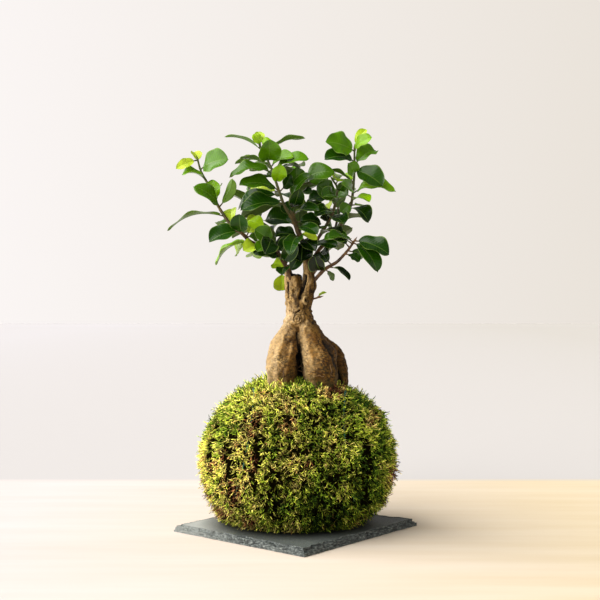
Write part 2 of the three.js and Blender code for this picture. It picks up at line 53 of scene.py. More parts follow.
# %% [markdown]
# ## The camera
#
# The slate's four corners fix where the photographer stood: about a metre away, a little above half the
# plant's height, with the camera held level. A level camera keeps the trunk upright in the picture, so it
# needs no tilt, only the right height and a long lens.

# %% Camera
EYE = (4.75, -1031.5, 198.7)
LENS = 71.34


def placed(name, data):
    """A new object in the scene."""
    thing = bpy.data.objects.new(name, data)
    bpy.context.scene.collection.objects.link(thing)
    return thing


camera = placed("camera", bpy.data.cameras.new("camera"))
camera.location = Vector(EYE) * MM
camera.rotation_euler = (math.radians(90), 0, 0)
camera.data.lens = LENS
bpy.context.scene.camera = camera
print("camera at", tuple(camera.location), "with a lens of", LENS, "mm")

# %% [markdown]
# ## Helpers for shapes
#
# Everything that grows is made from many points, so the helpers work on whole arrays. They give unit vectors,
# soft steps and smooth noise in space, close rings of points into a skin, and turn points and faces into a
# piece. The noise comes from a small seeded lattice, so the same lumps grow on every run.

# %% Arrays, noise and meshes
LATTICE = 16


def unit(vectors):
    """Each vector at a length of 1."""
    return vectors / np.maximum(np.linalg.norm(vectors, axis=-1, keepdims=True), 1e-9)


def blend(low, high, values):
    """0 below low, 1 above high, and a soft step between them."""
    t = np.clip((values - low) / (high - low), 0, 1)
    return t * t * (3 - 2 * t)


def swing(angle, first, second):
    """The ways that lie at each angle from a first way toward a second."""
    return first * np.cos(angle)[:, None] + second * np.sin(angle)[:, None]


def lumps(points, size, seed):
    """Smooth noise from -1 to 1, with swellings about size across. size may differ along x, y and z."""
    lattice = np.random.default_rng(seed).random((LATTICE, LATTICE, LATTICE))
    at = np.asarray(points) / size
    cell = np.floor(at).astype(int)
    t = blend(0, 1, at - cell)
    total = np.zeros(len(at))
    for corner in np.ndindex(2, 2, 2):
        weight = np.prod(np.where(np.array(corner) == 1, t, 1 - t), axis=1)
        i = (cell + corner) % LATTICE
        total += weight * lattice[i[:, 0], i[:, 1], i[:, 2]]
    return 2 * total - 1


def skin_faces(count, around):
    """Quads between rings of points, and triangles from both end rings to the two points that follow."""
    here = np.arange(around)
    beside = np.roll(here, -1)
    quad = np.column_stack([here, beside, beside + around, here + around])
    quads = [quad + ring * around for ring in range(count - 1)]
    last = (count - 1) * around
    end = np.full(around, count * around)
    ends = [np.column_stack([beside, here, end]), np.column_stack([last + here, last + beside, end + 1])]
    return np.concatenate(quads), np.concatenate(ends)


def gather(parts):
    """Several shapes as one: their points, quads and triangles with the numbers moved along."""
    first = np.cumsum([0] + [len(points) for points, _, _ in parts])
    faces = [np.concatenate([part[kind] + start for part, start in zip(parts, first)]) for kind in (1, 2)]
    return np.concatenate([points for points, _, _ in parts]), *faces


def make_piece(name, points, *face_sets, sharp=None):
    """A mesh object from points in mm and arrays of faces."""
    mesh = bpy.data.meshes.new(name)
    mesh.vertices.add(len(points))
    mesh.vertices.foreach_set("co", (np.asarray(points) * MM).astype(np.float32).ravel())
    corners = np.concatenate([faces.ravel() for faces in face_sets])
    sizes = np.concatenate([np.full(len(faces), len(faces[0])) for faces in face_sets])
    mesh.loops.add(len(corners))
    mesh.loops.foreach_set("vertex_index", corners.astype(np.int32))
    mesh.polygons.add(len(sizes))
    mesh.polygons.foreach_set("loop_start", (np.cumsum(sizes) - sizes).astype(np.int32))
    mesh.update(calc_edges=True)
    mesh.shade_smooth()
    if sharp:
        mesh.set_sharp_from_angle(angle=math.radians(sharp))
    return placed(name, mesh)


def give(piece, **numbers):
    """Stores numbers for each point, for the material to read by their name."""
    for name, values in numbers.items():
        layer = piece.data.attributes.new(name, "FLOAT", "POINT")
        layer.data.foreach_set("value", np.asarray(values, np.float32))


def settle(piece, slot, finishes, *stands_for):
    """The last step for each piece: its finishes, and its place in the frame."""
    for finish in finishes:
        piece.data.materials.append(finish.material)
    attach(piece, "root")
    if stands_for:
        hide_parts(*stands_for)
    print(piece.name, "has", sum(len(face.vertices) - 2 for face in piece.data.polygons), "triangles")


print("helpers ready for smooth noise on a lattice of", LATTICE, "points a side, and for pieces")

# %% [markdown]
# ## Helpers for finishes
#
# A natural surface is never one colour. Each finish below starts from one tone and lays others over it by
# noise. Some also lay painted shade over it, by how high a point lies on its strand and by how deep it lies
# in a crease. A colour is given as a painter reads it off a screen, from 0 to 255. These helpers keep the
# node trees short to write.

# %% Paints and nodes
def paint(*colour):
    """Red, green and blue from 0 to 255 turned into linear light, by the curve that screens use."""
    shares = [v / 255 for v in colour]
    return (*(((v + 0.055) / 1.055) ** 2.4 if v > 0.04045 else v / 12.92 for v in shares), 1)


class Nodes:
    """A node tree, with short ways to add nodes to it."""

    def __init__(self, tree):
        self.tree = tree

    def plug(self, socket, value):
        """Links a socket to another node's, or sets it. Three plain numbers for a colour are a paint."""
        if isinstance(value, bpy.types.NodeSocket):
            self.tree.links.new(value, socket)
        elif socket.type == "RGBA":
            socket.default_value = paint(*value)
        else:
            socket.default_value = value

    def node(self, kind, inputs, **settings):
        """A new node, with its inputs by name or number."""
        made = self.tree.nodes.new("ShaderNode" + kind)
        for key, value in settings.items():
            setattr(made, key, value)
        for key, value in inputs.items():
            self.plug(made.inputs[key], value)
        return made

    def place(self, stretch=(1, 1, 1)):
        """Where a point lies on the piece, stretched along x, y or z."""
        where = self.node("TexCoord", {}).outputs["Object"]
        return self.node("Mapping", {"Vector": where, "Scale": stretch}).outputs[0]

    def split(self, vector):
        """The x, y and z of a vector."""
        return self.node("SeparateXYZ", {0: vector}).outputs

    def noise(self, scale, detail, stretch=(1, 1, 1), roughness=0.55):
        inputs = {"Vector": self.place(stretch), "Scale": scale, "Detail": detail, "Roughness": roughness}
        return self.node("TexNoise", inputs).outputs["Fac"]

    def value(self, name):
        """A number that the piece's points carry."""
        return self.node("Attribute", {}, attribute_name=name).outputs["Fac"]

    def maths(self, operation, *values):
        return self.node("Math", dict(enumerate(values)), operation=operation).outputs[0]

    def fade(self, value, start, end, low=0.0, high=1.0):
        """low where a value is at the start, high where it is at the end, and even steps between."""
        inputs = {"Value": value, "From Min": start, "From Max": end, "To Min": low, "To Max": high}
        return self.node("MapRange", inputs).outputs[0]

    def ramp(self, factor, *stops):
        """A colour ramp. Each stop is a place on it with a grey, or with a paint's red, green and blue."""
        made = self.node("ValToRGB", {0: factor})
        points = made.color_ramp.elements
        while len(points) < len(stops):
            points.new(0.5)
        for point, (at, *colour) in zip(points, stops):
            point.position = at
            point.color = paint(*colour) if len(colour) == 3 else (*colour * 3, 1)
        return made.outputs[0]

    def mix(self, factor, first, second, way="MIX"):
        inputs = {0: factor, 6: first, 7: second}
        return self.node("Mix", inputs, data_type="RGBA", blend_type=way).outputs[2]


class Finish(Nodes):
    """A material with one shader, whose colour is built up in layers."""

    def __init__(self, name, roughness, specular=0.5):
        self.material = bpy.data.materials.new(name)
        self.material.use_nodes = True
        super().__init__(self.material.node_tree)
        self.shader = self.tree.nodes["Principled BSDF"]
        self.plug(self.shader.inputs["Roughness"], roughness)
        self.plug(self.shader.inputs["Specular IOR Level"], specular)

    def colour(self, tone):
        """Makes this the colour so far."""
        self.tone = tone
        self.plug(self.shader.inputs["Base Color"], tone)

    def over(self, colour, share, *more):
        """Lays a colour over the one so far, by a share or by the product of two."""
        if more:
            share = self.maths("MULTIPLY", share, *more)
        self.colour(self.mix(share, self.tone, colour))

    def times(self, tone, share=1.0):
        """Multiplies the colour so far by a tone, in full or by a share."""
        self.colour(self.mix(share, self.tone, tone, "MULTIPLY"))

    def mottle(self, scale, detail, *stops):
        """Colours the whole surface by a noise."""
        self.colour(self.ramp(self.noise(scale, detail), *stops))
        return self

    def bump(self, height, distance, strength=1.0):
        inputs = {"Height": height, "Distance": distance * MM, "Strength": strength}
        self.plug(self.shader.inputs["Normal"], self.node("Bump", inputs).outputs[0])


print("helpers ready for paints, node trees and finishes")

# %% [markdown]
# ## The stage
#
# The floor is one pale plane. Round the plant it has the warm tint of pale wood. That tint is painted cooler
# and lighter toward the window on the left and warmer on the far side, as painted light. Further off the
# floor turns into the off-white of a wall, painted a little lighter toward the window as painted light, so
# the background stays quiet from every side. A low winter sun through a wide window is the main light: it
# comes from the left, makes soft shadows and doesn't fade with distance. The sky is a pale band at eye level,
# brightest toward the window, under a dimmer ceiling, which keeps the shaded sides of the leaves deep.

# %% Floor
FLOOR_SIZE = 9000
FLOOR_LEVEL = -0.3
BOARD = (430, 283)
BOARD_SOFT = 0.03
COOL_TO_WARM = (-0.6, 0.6)
FAR_REACH = (-1500 * MM, 1500 * MM)

corners = [(x * FLOOR_SIZE, y * FLOOR_SIZE, FLOOR_LEVEL) for x, y in ((-1, -1), (1, -1), (1, 1), (-1, 1))]
floor = make_piece("floor", corners, np.array([[0, 1, 2, 3]]))
floor_look = Finish("pale_floor", 0.9, 0.0)
on_board = floor_look.split(floor_look.place((1000 / BOARD[0], 1000 / BOARD[1], 1)))
reach = floor_look.maths("MAXIMUM", *(floor_look.maths("ABSOLUTE", on_board[axis]) for axis in (0, 1)))
grain = floor_look.noise(9, 5, (0.35, 3, 1))
# Painted light: the board is painted cooler and lighter toward the window on the left and warmer on the far
# side.
cool = floor_look.ramp(grain, (0.3, 225, 214, 211), (0.7, 231, 222, 221))
warm = floor_look.ramp(grain, (0.3, 222, 204, 170), (0.7, 230, 216, 190))
# Painted light: the far floor is painted lighter toward the window.
painted_light_falloff = floor_look.fade(floor_look.split(floor_look.place())[0], *FAR_REACH)
wall = floor_look.mix(painted_light_falloff, (212, 210, 213), (200, 197, 192))
floor_look.colour(floor_look.mix(floor_look.fade(on_board[0], *COOL_TO_WARM), cool, warm))
floor_look.over(wall, floor_look.fade(reach, 1 - BOARD_SOFT, 1 + BOARD_SOFT))
floor.data.materials.append(floor_look.material)
print("the floor is warm over", 2 * BOARD[0], "by", 2 * BOARD[1], "mm and off-white beyond")

# %% Lamps and sky
SUN_FROM = (-0.95, -0.27, 0.6)
SUN_STRENGTH = 6.6
SUN_ANGLE = 100
SUN_COLOUR = (1, 0.965, 0.92)
SKY_LEFT = (251, 246, 244)
SKY_RIGHT = (234, 227, 218)
SKY_SPREAD = 0.25
SKY_CEILING = (116, 116, 118)
CEILING_FROM = (0.28, 0.5)

sun = placed("window_sun", bpy.data.lights.new("window_sun", "SUN"))
sun.rotation_euler = Vector(SUN_FROM).to_track_quat("Z", "Y").to_euler()
sun.data.energy = SUN_STRENGTH
sun.data.angle = math.radians(SUN_ANGLE)
sun.data.color = SUN_COLOUR

world = bpy.data.worlds.new("pale_sky")
world.use_nodes = True
sky = Nodes(world.node_tree)
way = sky.split(sky.node("TexCoord", {}).outputs["Generated"])
band = sky.mix(sky.fade(way[0], -SKY_SPREAD, SKY_SPREAD), SKY_LEFT, SKY_RIGHT)
ceiling = sky.fade(sky.maths("ABSOLUTE", way[2]), *CEILING_FROM)
sky.plug(sky.tree.nodes["Background"].inputs[0], sky.mix(ceiling, band, SKY_CEILING))
bpy.context.scene.world = world
bpy.context.scene.view_settings.view_transform = "Standard"
print("one sun from", SUN_FROM, "and a pale sky")

# %% [markdown]
# ## The slate tile
#
# Slate splits into thin sheets. A hand-cut tile has a smooth riven top and an edge where the sheets broke
# away at different depths, so the edge is a stair of small jagged steps. Cutting a block with noise would
# round the steps off. Here each sheet gets an outline of its own, set back from the one below, and a riser
# and a tread join them, which keeps the steps crisp.

# %% Slate: the sheets' outlines
SLATE_CORNERS = np.array([(-104, -10), (8, -113), (108, 17), (-12, 106)])
SLATE_THICK = 6
SLATE_BEVEL = 4.5
SHEETS = 5
SIDE_POINTS = 190

slate_middle = SLATE_CORNERS.mean(axis=0)
corner_before, corner_after = (np.roll(SLATE_CORNERS, turn, axis=0) for turn in (1, -1))
side_share = (np.arange(SIDE_POINTS) + 0.5)[:, None] / SIDE_POINTS
outline = [corner + (after - corner) * side_share for corner, after in zip(SLATE_CORNERS, corner_after)]
outline = np.concatenate(outline)
along_side = unit(corner_after - SLATE_CORNERS)
inward = np.repeat(np.column_stack([-along_side[:, 1], along_side[:, 0]]), SIDE_POINTS, axis=0)


def set_back(depth):
    """The outline moved inward by a depth at each point, kept off the corners' far sides."""
    moved = outline + inward * depth[:, None]
    for corner, *both_ends in zip(SLATE_CORNERS, corner_before, corner_after):
        for end in both_ends:
            side = unit(end - corner)
            normal = np.array([-side[1], side[0]])
            normal *= np.sign(normal @ (slate_middle - corner))
            short = depth - (moved - corner) @ normal
            near = np.linalg.norm(outline - corner, axis=1) < 3 * SLATE_BEVEL
            moved += normal * np.where(near & (short > 0), short, 0)[:, None]
    return moved


print("the tile's outline has", len(outline), "points")

# %% Slate: risers, treads and the riven top
CHIP_STEP = 2.2
SHARP_EDGE = 35
TREAD = 0.25
TOP_DIP = 0.35
TOP_RINGS = (0.985, 0.96, 0.92, 0.86, 0.78, 0.68, 0.56, 0.42, 0.26, 0.1)


def slate_rings():
    """Rings of points from the underside, up the broken edge and in over the top."""
    flat = np.column_stack([outline, np.zeros(len(outline))])
    rings = []
    for sheet in range(SHEETS):
        low, high = (SLATE_THICK * level / SHEETS for level in (sheet, sheet + 1))
        chips = 1.5 * lumps(flat, 11, 20 + sheet // 2)
        chips = chips + 1.4 * np.round(CHIP_STEP * lumps(flat, 5, 40 + sheet)) / CHIP_STEP
        chips *= min(1, 0.35 + 0.5 * sheet)
        depth = np.maximum(SLATE_BEVEL * (sheet / (SHEETS - 1)) ** 1.2 + chips, 0)
        bite = 0.25 * lumps(flat, 1.5, 60 + sheet)
        rings.append(np.column_stack([set_back(depth), low + (sheet > 0) * bite]))
        rings.append(np.column_stack([set_back(depth + TREAD), high + bite]))
    top = rings[-1]
    top[:, 2] = SLATE_THICK
    for share in TOP_RINGS:
        ring = top * (share, share, 1)
        ring[:, 2] = SLATE_THICK - TOP_DIP + 0.22 * lumps(ring, 30, 8) + 0.1 * lumps(ring, 7, 9)
        rings.append(ring)
    return rings


rings = slate_rings()
slate_points = np.concatenate(rings + [[(0, 0, 0), (0, 0, SLATE_THICK - TOP_DIP)]])
slate = make_piece("slate", slate_points, *skin_faces(len(rings), len(outline)), sharp=SHARP_EDGE)
print("the tile has", len(rings), "rings of points,", 2 * SHEETS, "of them on its broken edge")

# %% [markdown]
# ### The slate's finish
#
# Riven slate is a dark blue-grey. A painted silvery sheen, a painted reflection of the window, lies over its
# left part. The freshly broken edge is lighter, because the chipped faces scatter light. The colour is mixed
# by two sizes of noise, and a low bump gives the top its fine riven texture. A painted contact shadow darkens
# the stone round the foot of the ball.

# %% Slate: finish
BALL_MIDDLE = np.array([3.0, 6.0, 60.0])
PAINTED_SHEEN_X = (-45 * MM, -84 * MM)
CONTACT_SHADOW_REACH = (60 * MM, 86 * MM)

slate_look = Finish("riven_slate", 0.62)
patches = slate_look.noise(22, 6)
slate_look.colour(slate_look.ramp(patches, (0.3, 50, 63, 58), (0.55, 70, 83, 76), (0.8, 94, 106, 97)))
slate_look.over(slate_look.ramp(slate_look.noise(700, 3), (0.35, 0.03), (0.65, 0.3)), 0.35)
# Painted reflection: a pale sheen of the window over the tile's left part, and half as much over the broken
# edge there.
painted_sheen = slate_look.fade(slate_look.split(slate_look.place())[0], *PAINTED_SHEEN_X)
painted_sheen = slate_look.maths("MULTIPLY", painted_sheen, slate_look.ramp(patches, (0.3, 0.6), (0.6, 1.0)))
slate_look.over((186, 190, 186), painted_sheen)
# Painted shadow: the stone is painted dark round the foot of the ball, as a contact shadow.
ball_spot = {0: slate_look.place((1, 1, 0)), 1: BALL_MIDDLE * (MM, MM, 0)}
from_ball = slate_look.node("VectorMath", ball_spot, operation="DISTANCE").outputs["Value"]
slate_look.over((20, 26, 20), slate_look.fade(from_ball, *CONTACT_SHADOW_REACH, 0.85, 0.0))
layers = slate_look.noise(330, 6, (1, 1, 2.2), 0.68)
broken = slate_look.ramp(layers, (0.38, 26, 31, 31), (0.52, 68, 76, 74), (0.7, 140, 146, 142))
broken = slate_look.mix(slate_look.maths("MULTIPLY", painted_sheen, 0.5), broken, (150, 156, 152))
slate_look.over(broken, slate_look.value("edge"))
slate_look.bump(slate_look.maths("ADD", slate_look.noise(260, 6), layers), 0.6, 0.6)
give(slate, edge=np.arange(len(slate_points)) < 2 * SHEETS * len(outline))
settle(slate, "slate", [slate_look], "slate_tile")

# %% [markdown]
# ## The ball's form
#
# The moss ball is a fat sphere, a little squared, with a flat foot where it rests. One formula says how
# deep a point lies, and a search along a ray finds the surface. The thread pulls the moss in along a few
# lines, so the surface dips near the planes of the thread's loops and swells between them.

# %% Ball: surface, creases and swellings
BALL_RADIUS = 82
BALL_UP = 71
BALL_DOWN = 67
SQUARENESS = 2.3
FOOT = SLATE_THICK + 0.3
THREAD_SINK = 0.4
THREAD_RADIUS = 0.7
LOOPS = [
    # which way a loop of thread faces, how steeply, and its distance from the ball's middle
    (188, 12, 53), (-10, 8, 52), (88, 10, 46),
]
THREAD_SHOWS = [(-30.7, 119.5), (-34.8, 78.4), (-40.4, 62.3)]
BELLY = 2.6
BULGES = [
    # x and z in front, reach across, reach up, push outward
    ((-62, 14), 26, 16, 5.5), ((88, 50), 12, 14, 4.0), ((-30, 128), 16, 10, 2.0), ((62, 124), 14, 12, 2.0),
]
PLEATS = [
    # x in front, its lowest and highest level, half its width
    (-49, 36, 90, 4.4), (-29, 50, 98, 3.4), (-12, 22, 80, 3.6),
    (31, 18, 62, 3.6), (56, 28, 84, 4.0), (-66, 56, 96, 3.2),
]
LOWEST_DIP = -4.6
HALVINGS = 30


def ball_level(points, less=0.0):
    """Below 1 inside the ball's form and above 1 outside."""
    level = np.where(points[:, 2] > BALL_MIDDLE[2], BALL_UP - less, BALL_DOWN - less)
    across = np.linalg.norm(points[:, :2] - BALL_MIDDLE[:2], axis=1) / (BALL_RADIUS - less)
    return across ** SQUARENESS + (np.abs(points[:, 2] - BALL_MIDDLE[2]) / level) ** SQUARENESS


def ball_surface(start, ways, less=0.0, floor=FOOT):
    """Where rays from a start inside the ball leave it, found by halving the search again and again."""
    inside = np.zeros(len(ways))
    outside = np.full(len(ways), 2.0 * BALL_RADIUS)
    for _ in range(HALVINGS):
        half = (inside + outside) / 2
        at = start + ways * half[:, None]
        within = (ball_level(at, less) < 1) & (at[:, 2] > floor)
        inside = np.where(within, half, inside)
        outside = np.where(within, outside, half)
    return start + ways * inside[:, None]


def loop_facing(azimuth, elevation):
    """The way that a loop of thread faces."""
    turn, tilt = math.radians(azimuth), math.radians(elevation)
    return np.array([math.cos(turn) * math.cos(tilt), math.sin(turn) * math.cos(tilt), math.sin(tilt)])


def bump_at(points, place, across, up):
    """1 at a place given as x and z in front of the ball, falling to 0 over a reach across and up."""
    away = np.hypot((points[:, 0] - place[0]) / across, (points[:, 2] - place[1]) / up)
    return (1 - blend(0, 1, away)) * (points[:, 1] < BALL_MIDDLE[1] + 20)


def thread_bite(points, reach):
    """1 on a thread's loop where it bites into the moss, 0 from reach away or where tufts hide it."""
    near = np.zeros(len(points))
    for azimuth, elevation, offset in LOOPS:
        away = np.abs((points - BALL_MIDDLE) @ loop_facing(azimuth, elevation) - offset)
        near = np.maximum(near, 1 - blend(0, reach, away))
    shows = blend(0.5, 0.66, lumps(points, 15, 5))
    for place in THREAD_SHOWS:
        shows = np.maximum(shows, bump_at(points, place, 9, 7))
    return near * shows


def pleated(points):
    """1 down the middle of a pleat in the front of the moss, 0 beside it."""
    near = np.zeros(len(points))
    wander = 3.5 * lumps(points, 16, 8)
    for middle, low, high, half in PLEATS:
        ends = blend(low - 8, low + 4, points[:, 2]) * (1 - blend(high - 4, high + 8, points[:, 2]))
        near = np.maximum(near, ends * (1 - blend(0.3, 1.2, np.abs(points[:, 0] - middle + wander) / half)))
    return near * (points[:, 1] < BALL_MIDDLE[1])


def moss_height(points):
    """How far the moss swells above or dips below the ball's form, in mm."""
    z = points[:, 2]
    swell = 1.8 * lumps(points, 24, 3) + 1.3 * lumps(points, 9, 4) + 0.9 * lumps(points, 4.4, 9)
    swell += BELLY * blend(12, 34, z) * (1 - blend(62, 88, z))
    for place, across, up, push in BULGES:
        swell += push * bump_at(points, place, across, up)
    folds = 2.4 * blend(0.3, 0.6, np.abs(lumps(points, (13, 13, 44), 6))) * blend(10, 30, z)
    return np.maximum(swell - folds - 3.6 * pleated(points) - 2.6 * thread_bite(points, 6), LOWEST_DIP)


print("the ball is", 2 * BALL_RADIUS, "mm wide and its foot is at", FOOT, "mm")

# %% [markdown]
# ## The moss bed
#
# Under the green tips lies a mat of old stems. It is painted nearly black as painted shade, and it shows as
# dark gaps between the tufts. It is a closed shell that follows the ball's form some millimetres below the
# tips, with the soil inside it. The soil itself is the frame's own solid, in a damp dark finish.

# %% Moss bed and soil
BED_DEPTH = 3.6
MOSS_THICK = 9


def globe(less, floor, around, levels, swell):
    """The ball's form as a closed skin, with the moss's swellings or without."""
    turn = np.arange(around) / around * 2 * math.pi
    tilt = (np.arange(levels - 1) + 1) / levels * math.pi
    ways = [(math.sin(t) * math.cos(a), math.sin(t) * math.sin(a), -math.cos(t)) for t in tilt for a in turn]
    ways = np.array(ways + [(0, 0, -1), (0, 0, 1)])
    points = ball_surface(BALL_MIDDLE, ways, less, floor)
    if swell:
        points = points + ways * moss_height(points)[:, None]
        points[:, 2] = np.maximum(points[:, 2], floor)
    return points, *skin_faces(levels - 1, around)


inner, *inner_faces = globe(MOSS_THICK, FOOT + MOSS_THICK, 48, 28, False)
inside_out = [faces[:, ::-1] for faces in inner_faces]
shell = gather([globe(BED_DEPTH, FOOT + 0.2, 160, 90, True), (inner, *inside_out)])
bed = make_piece("moss_bed", *shell)
# The mat's nearly black colour is painted shade for the gaps between the tufts.
bed_look = Finish("moss_mat_painted_shade", 0.95, 0.0).mottle(500, 4, (0.35, 6, 6, 1), (0.7, 24, 20, 6))
bed_look.bump(bed_look.noise(600, 4), 1.0)
settle(bed, "moss", [bed_look], "moss_layer")

soil_look = Finish("damp_soil", 0.9).mottle(300, 6, (0.3, 28, 20, 14), (0.7, 74, 56, 40))
soil_look.bump(soil_look.noise(350, 6), 1.5)
nodes["soil_ball"].data.materials.clear()
nodes["soil_ball"].data.materials.append(soil_look.material)
print("the soil ball keeps its own shape, in", soil_look.material.name)

# %% [markdown]
# ## The moss fronds
#
# What the eye sees of the moss is its shoots: feathery fronds that creep over the mat, each a stem some
# millimetres long with short side shoots to the left and right. Neighbours lie the same way, and tufts of
# them stand apart with truly dark gaps between. They are built all at once as arrays, because thousands of
# separate objects would be slow. Even spacing comes from the golden angle, and the lie of each tuft and the
# gaps come from noise.

# %% Fronds: roots and directions
SPRIGS = 13400
GOLDEN_ANGLE = math.pi * (3 - math.sqrt(5))
SPRIG_SCATTER = 0.008
ROOT_SINK = 0.4
TUFT = 4.6
TUFT_SEED = 9
TUFT_SCATTER = 0.35
THIN_TUFT = -1.05
BARE_PLEAT = 0.8
COMB_SEEDS = (31, 32, 33)
HANG = -0.5
NEAR_TRUNK = 90
TRUNK_AIR = 0.8


def golden_ways(level, up):
    """Evenly spread directions, each turned on by the golden angle, from how level and how far up they go."""
    turn = np.arange(len(level)) * GOLDEN_ANGLE
    return np.column_stack([level * np.cos(turn), level * np.sin(turn), up])


def frame_points(name):
    """The points of a frame piece, in mm."""
    node = nodes[name]
    return np.array([node.matrix_world @ v.co for v in node.data.vertices]) / MM


trunk_faces = [tuple(face.vertices) for face in nodes["trunk"].data.polygons]
trunk_tree = BVHTree.FromPolygons(frame_points("trunk").tolist(), trunk_faces)


def outside_trunk(point):
    near, normal, _, distance = trunk_tree.find_nearest(point)
    return distance > TRUNK_AIR and (Vector(point) - near).dot(normal) > 0


random = np.random.default_rng(7)
share = (np.arange(SPRIGS) + 0.5) / SPRIGS
ways = golden_ways(np.sqrt(1 - (1 - 2 * share) ** 2), 1 - 2 * share)
ways = unit(ways + random.normal(0, SPRIG_SCATTER, ways.shape))
roots = ball_surface(BALL_MIDDLE, ways, BED_DEPTH)
tuft = lumps(roots, TUFT, TUFT_SEED)
pleat = pleated(roots)
roots = roots + ways * (moss_height(roots)[:, None] - ROOT_SINK)
free = roots[:, 2] > FOOT + 2
free &= np.array([point[2] < NEAR_TRUNK or outside_trunk(point) for point in roots])
free &= tuft + TUFT_SCATTER * random.normal(0, 1, SPRIGS) > THIN_TUFT
free &= random.random(SPRIGS) > BARE_PLEAT * pleat
roots, ways, tuft, pleat = (values[free] for values in (roots, ways, tuft, pleat))
comb = np.column_stack([lumps(roots, 8, seed) for seed in COMB_SEEDS]) + (0, 0, HANG)
print(len(roots), "sprigs of moss find room")

# %% [markdown]
# ### Strands of a frond
#
# A frond's stem rises from its root and bends over toward the way its tuft lies; a few stay upright and
# fray the outline. The side shoots start along the stem and turn aside in its plane, shorter toward the tip.
# Every strand is a chain of short steps with a ring of three points round every joint, thickest near the end
# like a leafy shoot.

# %% Fronds: strands
LIFTED = 0.07
UPRIGHT_LEAN = (0.1, 0.6)
USUAL_LEAN = (0.65, 1.35)
BEND = (-0.7, 0.9)
STEM_SCATTER = 0.22
LIE_SCATTER = 0.55
TURN_SCATTER = 0.25
SHOOT_LEAN = (-0.15, 0.35)
ROOT_RISE = (0, 1.8)
STEM_LONG = (4.5, 9.5)
SHOOT_AT = np.array([0.0, 0.14, 0.32, 0.52, 0.72])
SHOOT_TURN = np.array([0.0, 1.0, -0.95, 0.85, -0.8])
SHOOT_LONG = (2.0, 4.4)
STRAND_RADIUS = (0.2, 0.38)
STATIONS = np.array([0, 0.6])
STATION_RADIUS = np.array([0.75, 1])


def spread(values):
    """A frond's own values repeated for each of its strands."""
    return np.repeat(values, len(SHOOT_AT), axis=0)


fronds_made = len(roots)
count = fronds_made * len(SHOOT_AT)
is_shoot = np.tile(SHOOT_AT > 0, fronds_made)
normal = unit(ways + random.normal(0, STEM_SCATTER, ways.shape))
lie = comb + random.normal(0, LIE_SCATTER, comb.shape)
lie = unit(lie - normal * np.sum(lie * normal, axis=1, keepdims=True))
across = np.cross(normal, lie)
lifted = random.random(fronds_made) < LIFTED
lean = np.where(lifted, random.uniform(*UPRIGHT_LEAN, fronds_made), random.uniform(*USUAL_LEAN, fronds_made))
heading = swing(lean, normal, lie)
stem_long = random.uniform(*STEM_LONG, fronds_made) * (1 - 0.4 * thread_bite(roots, 4)) * (1 + 0.2 * lifted)
start = roots + normal * random.uniform(*ROOT_RISE, (fronds_made, 1))

at = np.tile(SHOOT_AT, fronds_made)
aside = np.tile(SHOOT_TURN, fronds_made) + np.where(is_shoot, random.normal(0, TURN_SCATTER, count), 0)
root = spread(start) + spread(heading) * (at * spread(stem_long))[:, None]
normal, lie = spread(normal), swing(aside, spread(lie), spread(across))
across = np.cross(normal, lie)
lean = spread(lean) + np.where(is_shoot, random.normal(*SHOOT_LEAN, count), 0)
long = np.where(is_shoot, random.uniform(*SHOOT_LONG, count) * (1.25 - 0.5 * at), spread(stem_long))
radius = random.uniform(*STRAND_RADIUS, count)
bend = random.uniform(*BEND, count)

joint = root
strand_points = []
for before, after, thick in zip(STATIONS, [*STATIONS[1:], 1], STATION_RADIUS):
    heading = swing(lean + bend * (before + after) / 2, normal, lie)
    beside = np.cross(heading, across)
    for angle in 2 * math.pi * np.arange(3) / 3:
        out = across * math.cos(angle) + beside * math.sin(angle)
        strand_points.append(joint + out * (radius * thick)[:, None])
    joint = joint + heading * (long * (after - before))[:, None]
strand_points = np.stack(strand_points + [joint], axis=1)
strand_points[:, :, 2] = np.maximum(strand_points[:, :, 2], FOOT + 0.2)
print(count, "strands, each", strand_points.shape[1], "points")

# %% [markdown]
# ### The fronds' colours
#
# The moss is a patchwork: yellow-lime where it is young, mid green, dark green, and tan or rust where it
# dried out. It is also painted more yellow-lime on the left, toward the window, and darker green on the
# right, as painted light and shade. Each strand carries a number for its patch and a number for its painted
# light and shade. Each point carries a number for its height on the strand, and the finish turns the three
# into colour. The roots of the strands are painted nearly black as painted shade, so light seems to sink into
# the mat. The largest dry patches lie where the real ball has them.

# %% Fronds: finish and pieces
PIECES = 4
SHADED = 0.4
SHADED_LIGHT = (0.04, 0.5)
OPEN_LIGHT = (0.8, 2.0)
FROND_LIGHT = (0.55, 1.9)
BRIGHTEST = 1.75
DRY_PATCHES = [
    # x, z, reach across, reach up, seen from the front
    (31, 121, 13, 6), (-4, 97, 9, 7), (-30, 102, 5, 5), (-57, 73, 5, 7), (-31, 66, 4, 9), (12, 68, 5, 4),
    (-37, 16, 6, 6), (84, 50, 7, 11), (-49, 41, 7, 12), (66, 100, 6, 8), (-66, 60, 5, 9), (-60, 20, 8, 6),
]

moss_look = Finish("moss_fronds", 0.75, 0.06)
speckle = moss_look.maths("MULTIPLY_ADD", moss_look.noise(800, 2), 0.3, -0.15)
moss_look.colour(moss_look.ramp(
    moss_look.maths("ADD", moss_look.value("patch"), speckle),
    (0.0, 92, 50, 34), (0.12, 164, 108, 66), (0.22, 212, 168, 100), (0.32, 250, 234, 136),
    (0.46, 250, 242, 120), (0.62, 212, 222, 76), (0.78, 132, 166, 46), (1.0, 36, 66, 20)))
# Painted shade: each strand darkens to nearly black toward its root.
moss_look.times(moss_look.ramp(moss_look.value("height"), (0.0, 0.02), (0.3, 0.36), (0.6, 0.95), (1.0, 1.1)))
moss_look.times(moss_look.value("light"))

